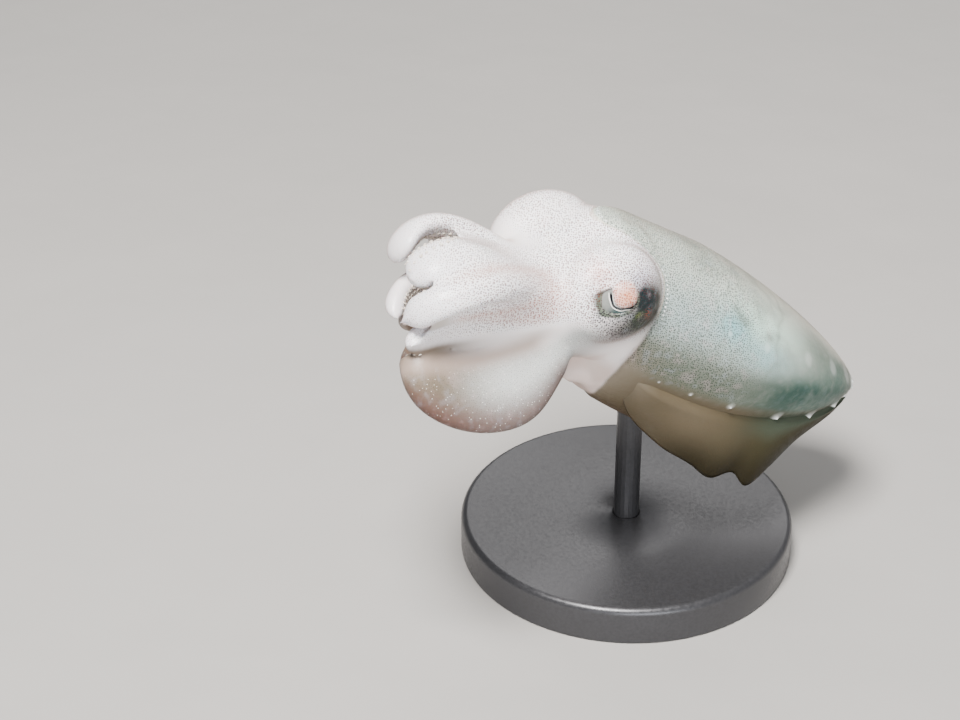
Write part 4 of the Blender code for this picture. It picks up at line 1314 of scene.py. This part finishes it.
def slit_ribbon(name, side, offset, width, lift, material):
    """Half-round ribbon along the slit's curve: offset and half width across the curve, sine
    height over the eyeball's face."""
    along = np.linspace(0, 1, 60)
    path = smooth_curve(SLIT, along)
    travel = unit(np.gradient(path, axis=0))
    across = np.stack((-travel[:, 1], travel[:, 0]), axis=-1)
    angle = circle(12)
    end = np.sqrt(np.clip(1 - (2 * along - 1) ** 8, 0.01, 1))[:, None]
    shift = offset + width * end * np.cos(angle)[None]
    flat = path[:, None] + shift[..., None] * across[:, None]
    height = lift + 0.5 * width * end * np.sin(angle)[None]
    return tube(name, on_eyeball(flat[..., 0], flat[..., 1], height, side), material)


def eyeball_material():
    """Silver grey in front, and painted shade in dark green behind and below, by a mask stored on the ball.
    """
    look = Looks("eyeball")
    silver = look.mix(look.noise(3000), (0.17, 0.18, 0.17), (0.27, 0.28, 0.26))
    return look.finish({
        "Base Color": look.mix(look.attribute("shade"), silver, (0.02, 0.05, 0.05)),
        "Roughness": 0.12,
        "Coat Weight": 0.8,
        "Coat Roughness": 0.03,
    })


def make_eyes():
    """On each side a ball, and over it the dark slit of the pupil between two white edges."""
    finish = eyeball_material()
    black = plain_material("pupil_black", (0.004, 0.004, 0.005), (0.01, 0.01, 0.012), 3000, 0.12)
    white = plain_material("slit_white", (0.9, 0.88, 0.82), (0.66, 0.66, 0.62), 2500, 0.2)
    for name, side in (("left", 1), ("right", -1)):
        centre, rows = eye_axes(side)
        ball = ball_form("eyeball_" + name, centre, rows, np.full(3, EYEBALL_RADIUS), 72, 48, finish)
        ahead, rise, _, _ = over_eye(points_of(ball.data), side)
        # Mask of painted shade on the eyeball's back and lower part
        put(ball.data, "shade", ease(1.6, 0.2, ahead + 0.7 * rise))
        finish_piece(ball, "eye", "eye_" + name)
        for ribbon, *sizes, material in (
            ("pupil_", 0.0, 0.12, 0.0, black),
            ("slit_edge_in_", 0.16, 0.05, 0.02, white),
            ("slit_edge_out_", -0.15, 0.04, 0.02, white),
        ):
            finish_piece(slit_ribbon(ribbon + name, side, *sizes, material), "eye")


# Suckers


def sucker_cup(spot, rise, radius, material):
    """A short stalk that widens into a cup with a rounded rim and a hollow, turned from a profile
    of radius and height, both in sucker radii."""
    angle = circle(10)
    across = unit(np.cross(rise, HEAD[0] + 0.31 * HEAD[1]))
    other = np.cross(rise, across)
    ring = np.cos(angle)[:, None] * across + np.sin(angle)[:, None] * other
    rings = [spot + radius * (high * rise + wide * ring) for wide, high in SUCKER_PROFILE]
    return tube("sucker", rings, material)


def make_suckers(name, material):
    """Four rows over the face of the arm that looks at the mouth, closer and smaller to the tip.
    Where the arm is twisted, the rows turn round it towards the tip."""
    line = ARM_LINES[name]
    draw = random.Random(name)
    cups = []
    turned = math.radians(ARM_TWISTS.get(name, 0))
    for count in range(SUCKERS_IN_ROW):
        for row, place in enumerate(SUCKER_ROWS):
            share = 0.24 + 0.72 * ((count + 0.5 * (row % 2)) / SUCKERS_IN_ROW) ** 0.85
            index = int(share * (len(line["share"]) - 1))
            angle = math.radians(-90) + place + turned * float(ease(0.3, 0.75, share))
            width, thick = line["width"][index], line["thickness"][index]
            out, side = line["outward"][index], line["sideways"][index]
            spot = line["points"][index] + thick * math.sin(angle) * out + width * math.cos(angle) * side
            rise = unit(math.sin(angle) / thick * out + math.cos(angle) / width * side)
            radius = SUCKER_RADII[0] + (SUCKER_RADII[1] - SUCKER_RADII[0]) * share
            cups.append(sucker_cup(spot - 0.1 * rise, rise, radius * draw.uniform(0.88, 1.1), material))
    return joined("suckers_" + name, cups)


# Mouth and stand


def make_lips(material):
    """Ring with folded lips round the beak: a torus whose small radius ripples round it."""
    around = circle(96)[:, None]
    small = circle(20)[None]
    thick = LIP_THICKNESS * (1 + 0.16 * np.sin(18 * around) * np.clip(np.cos(small - 2.4), 0, 1))
    reach = LIP_RADIUS + thick * np.cos(small)
    ahead = CROWN_FORWARD + 0.3 + LIP_THICKNESS + thick * np.sin(small)
    points = (ahead + 0 * around, reach * np.sin(around), CROWN_UP + reach * np.cos(around))
    return ring_tube("lips_fold", from_head(np.stack(points, axis=-1)), material)


def make_base(material):
    """Disc turned from a profile with rounded edges and a bevelled hole for the rod."""
    angle = circle(192)
    curve = np.linspace(0, math.pi / 2, 9)
    hole, high = ROD_RADIUS + ROD_GAP, BASE_HEIGHT
    profile = [(hole, high - 2.0), (hole, high - 0.15), (ROD_RADIUS + 0.2, high), (BASE_RADIUS * 0.5, high)]
    for t in curve:
        inwards, down = BASE_EDGE * (1 - math.sin(t)), BASE_EDGE * (1 - math.cos(t))
        profile.append((BASE_RADIUS - inwards, high - down))
    for t in curve:
        inwards, up = FOOT_EDGE * (1 - math.cos(t)), FOOT_EDGE * (1 - math.sin(t))
        profile.append((BASE_RADIUS - inwards, up))
    profile += [(hole, 0.0), (hole, high - 2.2)]
    rings = [np.stack((r * np.cos(angle), r * np.sin(angle), z + 0 * angle), axis=-1) for r, z in profile]
    return ring_tube("stand_disc", rings, material)


# Stage


def view_axes():
    """Rows right, up and towards the camera."""
    around, high = math.radians(VIEW_AZIMUTH), math.radians(VIEW_ELEVATION)
    flat = math.cos(high)
    towards = np.array((-math.sin(around) * flat, -math.cos(around) * flat, math.sin(high)))
    right = unit(np.cross((0, 0, 1), towards))
    return np.array((right, np.cross(towards, right), towards))


def turned(thing, axes, place):
    """Stands a camera or a lamp at a place in metres, its own axes along three directions."""
    matrix = np.eye(4)
    matrix[:3, :3] = np.array(axes).T
    matrix[:3, 3] = place
    thing.matrix_world = Matrix(matrix.tolist())


def make_camera():
    """Camera that sees the middle between the eyes at its place in the photograph."""
    right, up, towards = view_axes()
    scale = LENS / SENSOR * PICTURE[0] / VIEW_DISTANCE
    x, y = EYES_IN_PICTURE
    aim = HEAD_POINT - right * (x - PICTURE[0] / 2) / scale + up * (y - PICTURE[1] / 2) / scale
    data = bpy.data.cameras.new("camera")
    data.lens, data.sensor_width = LENS, SENSOR
    data.clip_start, data.clip_end = 0.01, 10
    camera = linked("camera", data)
    turned(camera, (right, up, towards), (aim + towards * VIEW_DISTANCE) * MM)
    bpy.context.scene.camera = camera


def make_lights():
    for name, (place, size, power, colour) in LIGHTS.items():
        data = bpy.data.lights.new(name, "AREA")
        data.energy, data.size, data.color = power, size, colour
        away = unit(np.array(place) - np.array(LIGHTS_AIM))
        across = unit(np.cross((0, 0, 1), away))
        turned(linked(name, data), (across, np.cross(away, across), away), place)


def make_room():
    corners = [(x * FLOOR_HALF, y * FLOOR_HALF, 0) for x, y in ((-1, -1), (1, -1), (1, 1), (-1, 1))]
    paper = plain_material("floor_finish", (0.37, 0.355, 0.34), (0.345, 0.335, 0.32), 9, 0.8)
    floor = mesh_object("floor", corners, [[0, 1, 2, 3]], paper)
    world = bpy.data.worlds.new("room")
    world.use_nodes = True
    background = world.node_tree.nodes["Background"]
    background.inputs["Color"].default_value = SKY
    background.inputs["Strength"].default_value = SKY_STRENGTH
    bpy.context.scene.world = world
    make_lights()


def finish_piece(piece, slot, *nodes):
    """Fastens a piece to the body and hides the solids that it covers; its slot is not used."""
    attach(piece, "root")
    if nodes:
        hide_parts(*nodes)


def main():
    make_camera()
    make_room()
    flesh_finish = skin_material()
    skin = make_skin(flesh_finish)
    flesh = ["mantle", "head", "funnel"] + ["arm_" + name for name in ARMS]
    finish_piece(skin, "skin", *flesh)
    make_eyes()
    cup = plain_material("sucker_cup", (0.82, 0.78, 0.70), (0.58, 0.50, 0.42), 2600, 0.3)
    for name in ARMS:
        finish_piece(make_suckers(name, cup), "skin")
    lip = plain_material("lip_flesh", (0.66, 0.55, 0.47), (0.48, 0.38, 0.32), 1500, 0.35)
    finish_piece(make_lips(lip), "skin", "lips")
    satin = plain_material("stand_satin", (0.058, 0.058, 0.062), (0.068, 0.068, 0.073), 3200, 0.35, 0.6)
    finish_piece(make_base(satin), "stand_metal", "stand_base")
    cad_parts["stand_rod"].material_slots[0].material = satin
    horn = plain_material("beak_horn", (0.10, 0.055, 0.03), (0.04, 0.022, 0.014), 1800, 0.25)
    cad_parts["beak"].material_slots[0].material = horn
    for name, side in (("fin_left", 1), ("fin_right", -1)):
        finish_piece(fin_form(name + "_membrane", side, flesh_finish), "fin_membrane", name)


main()
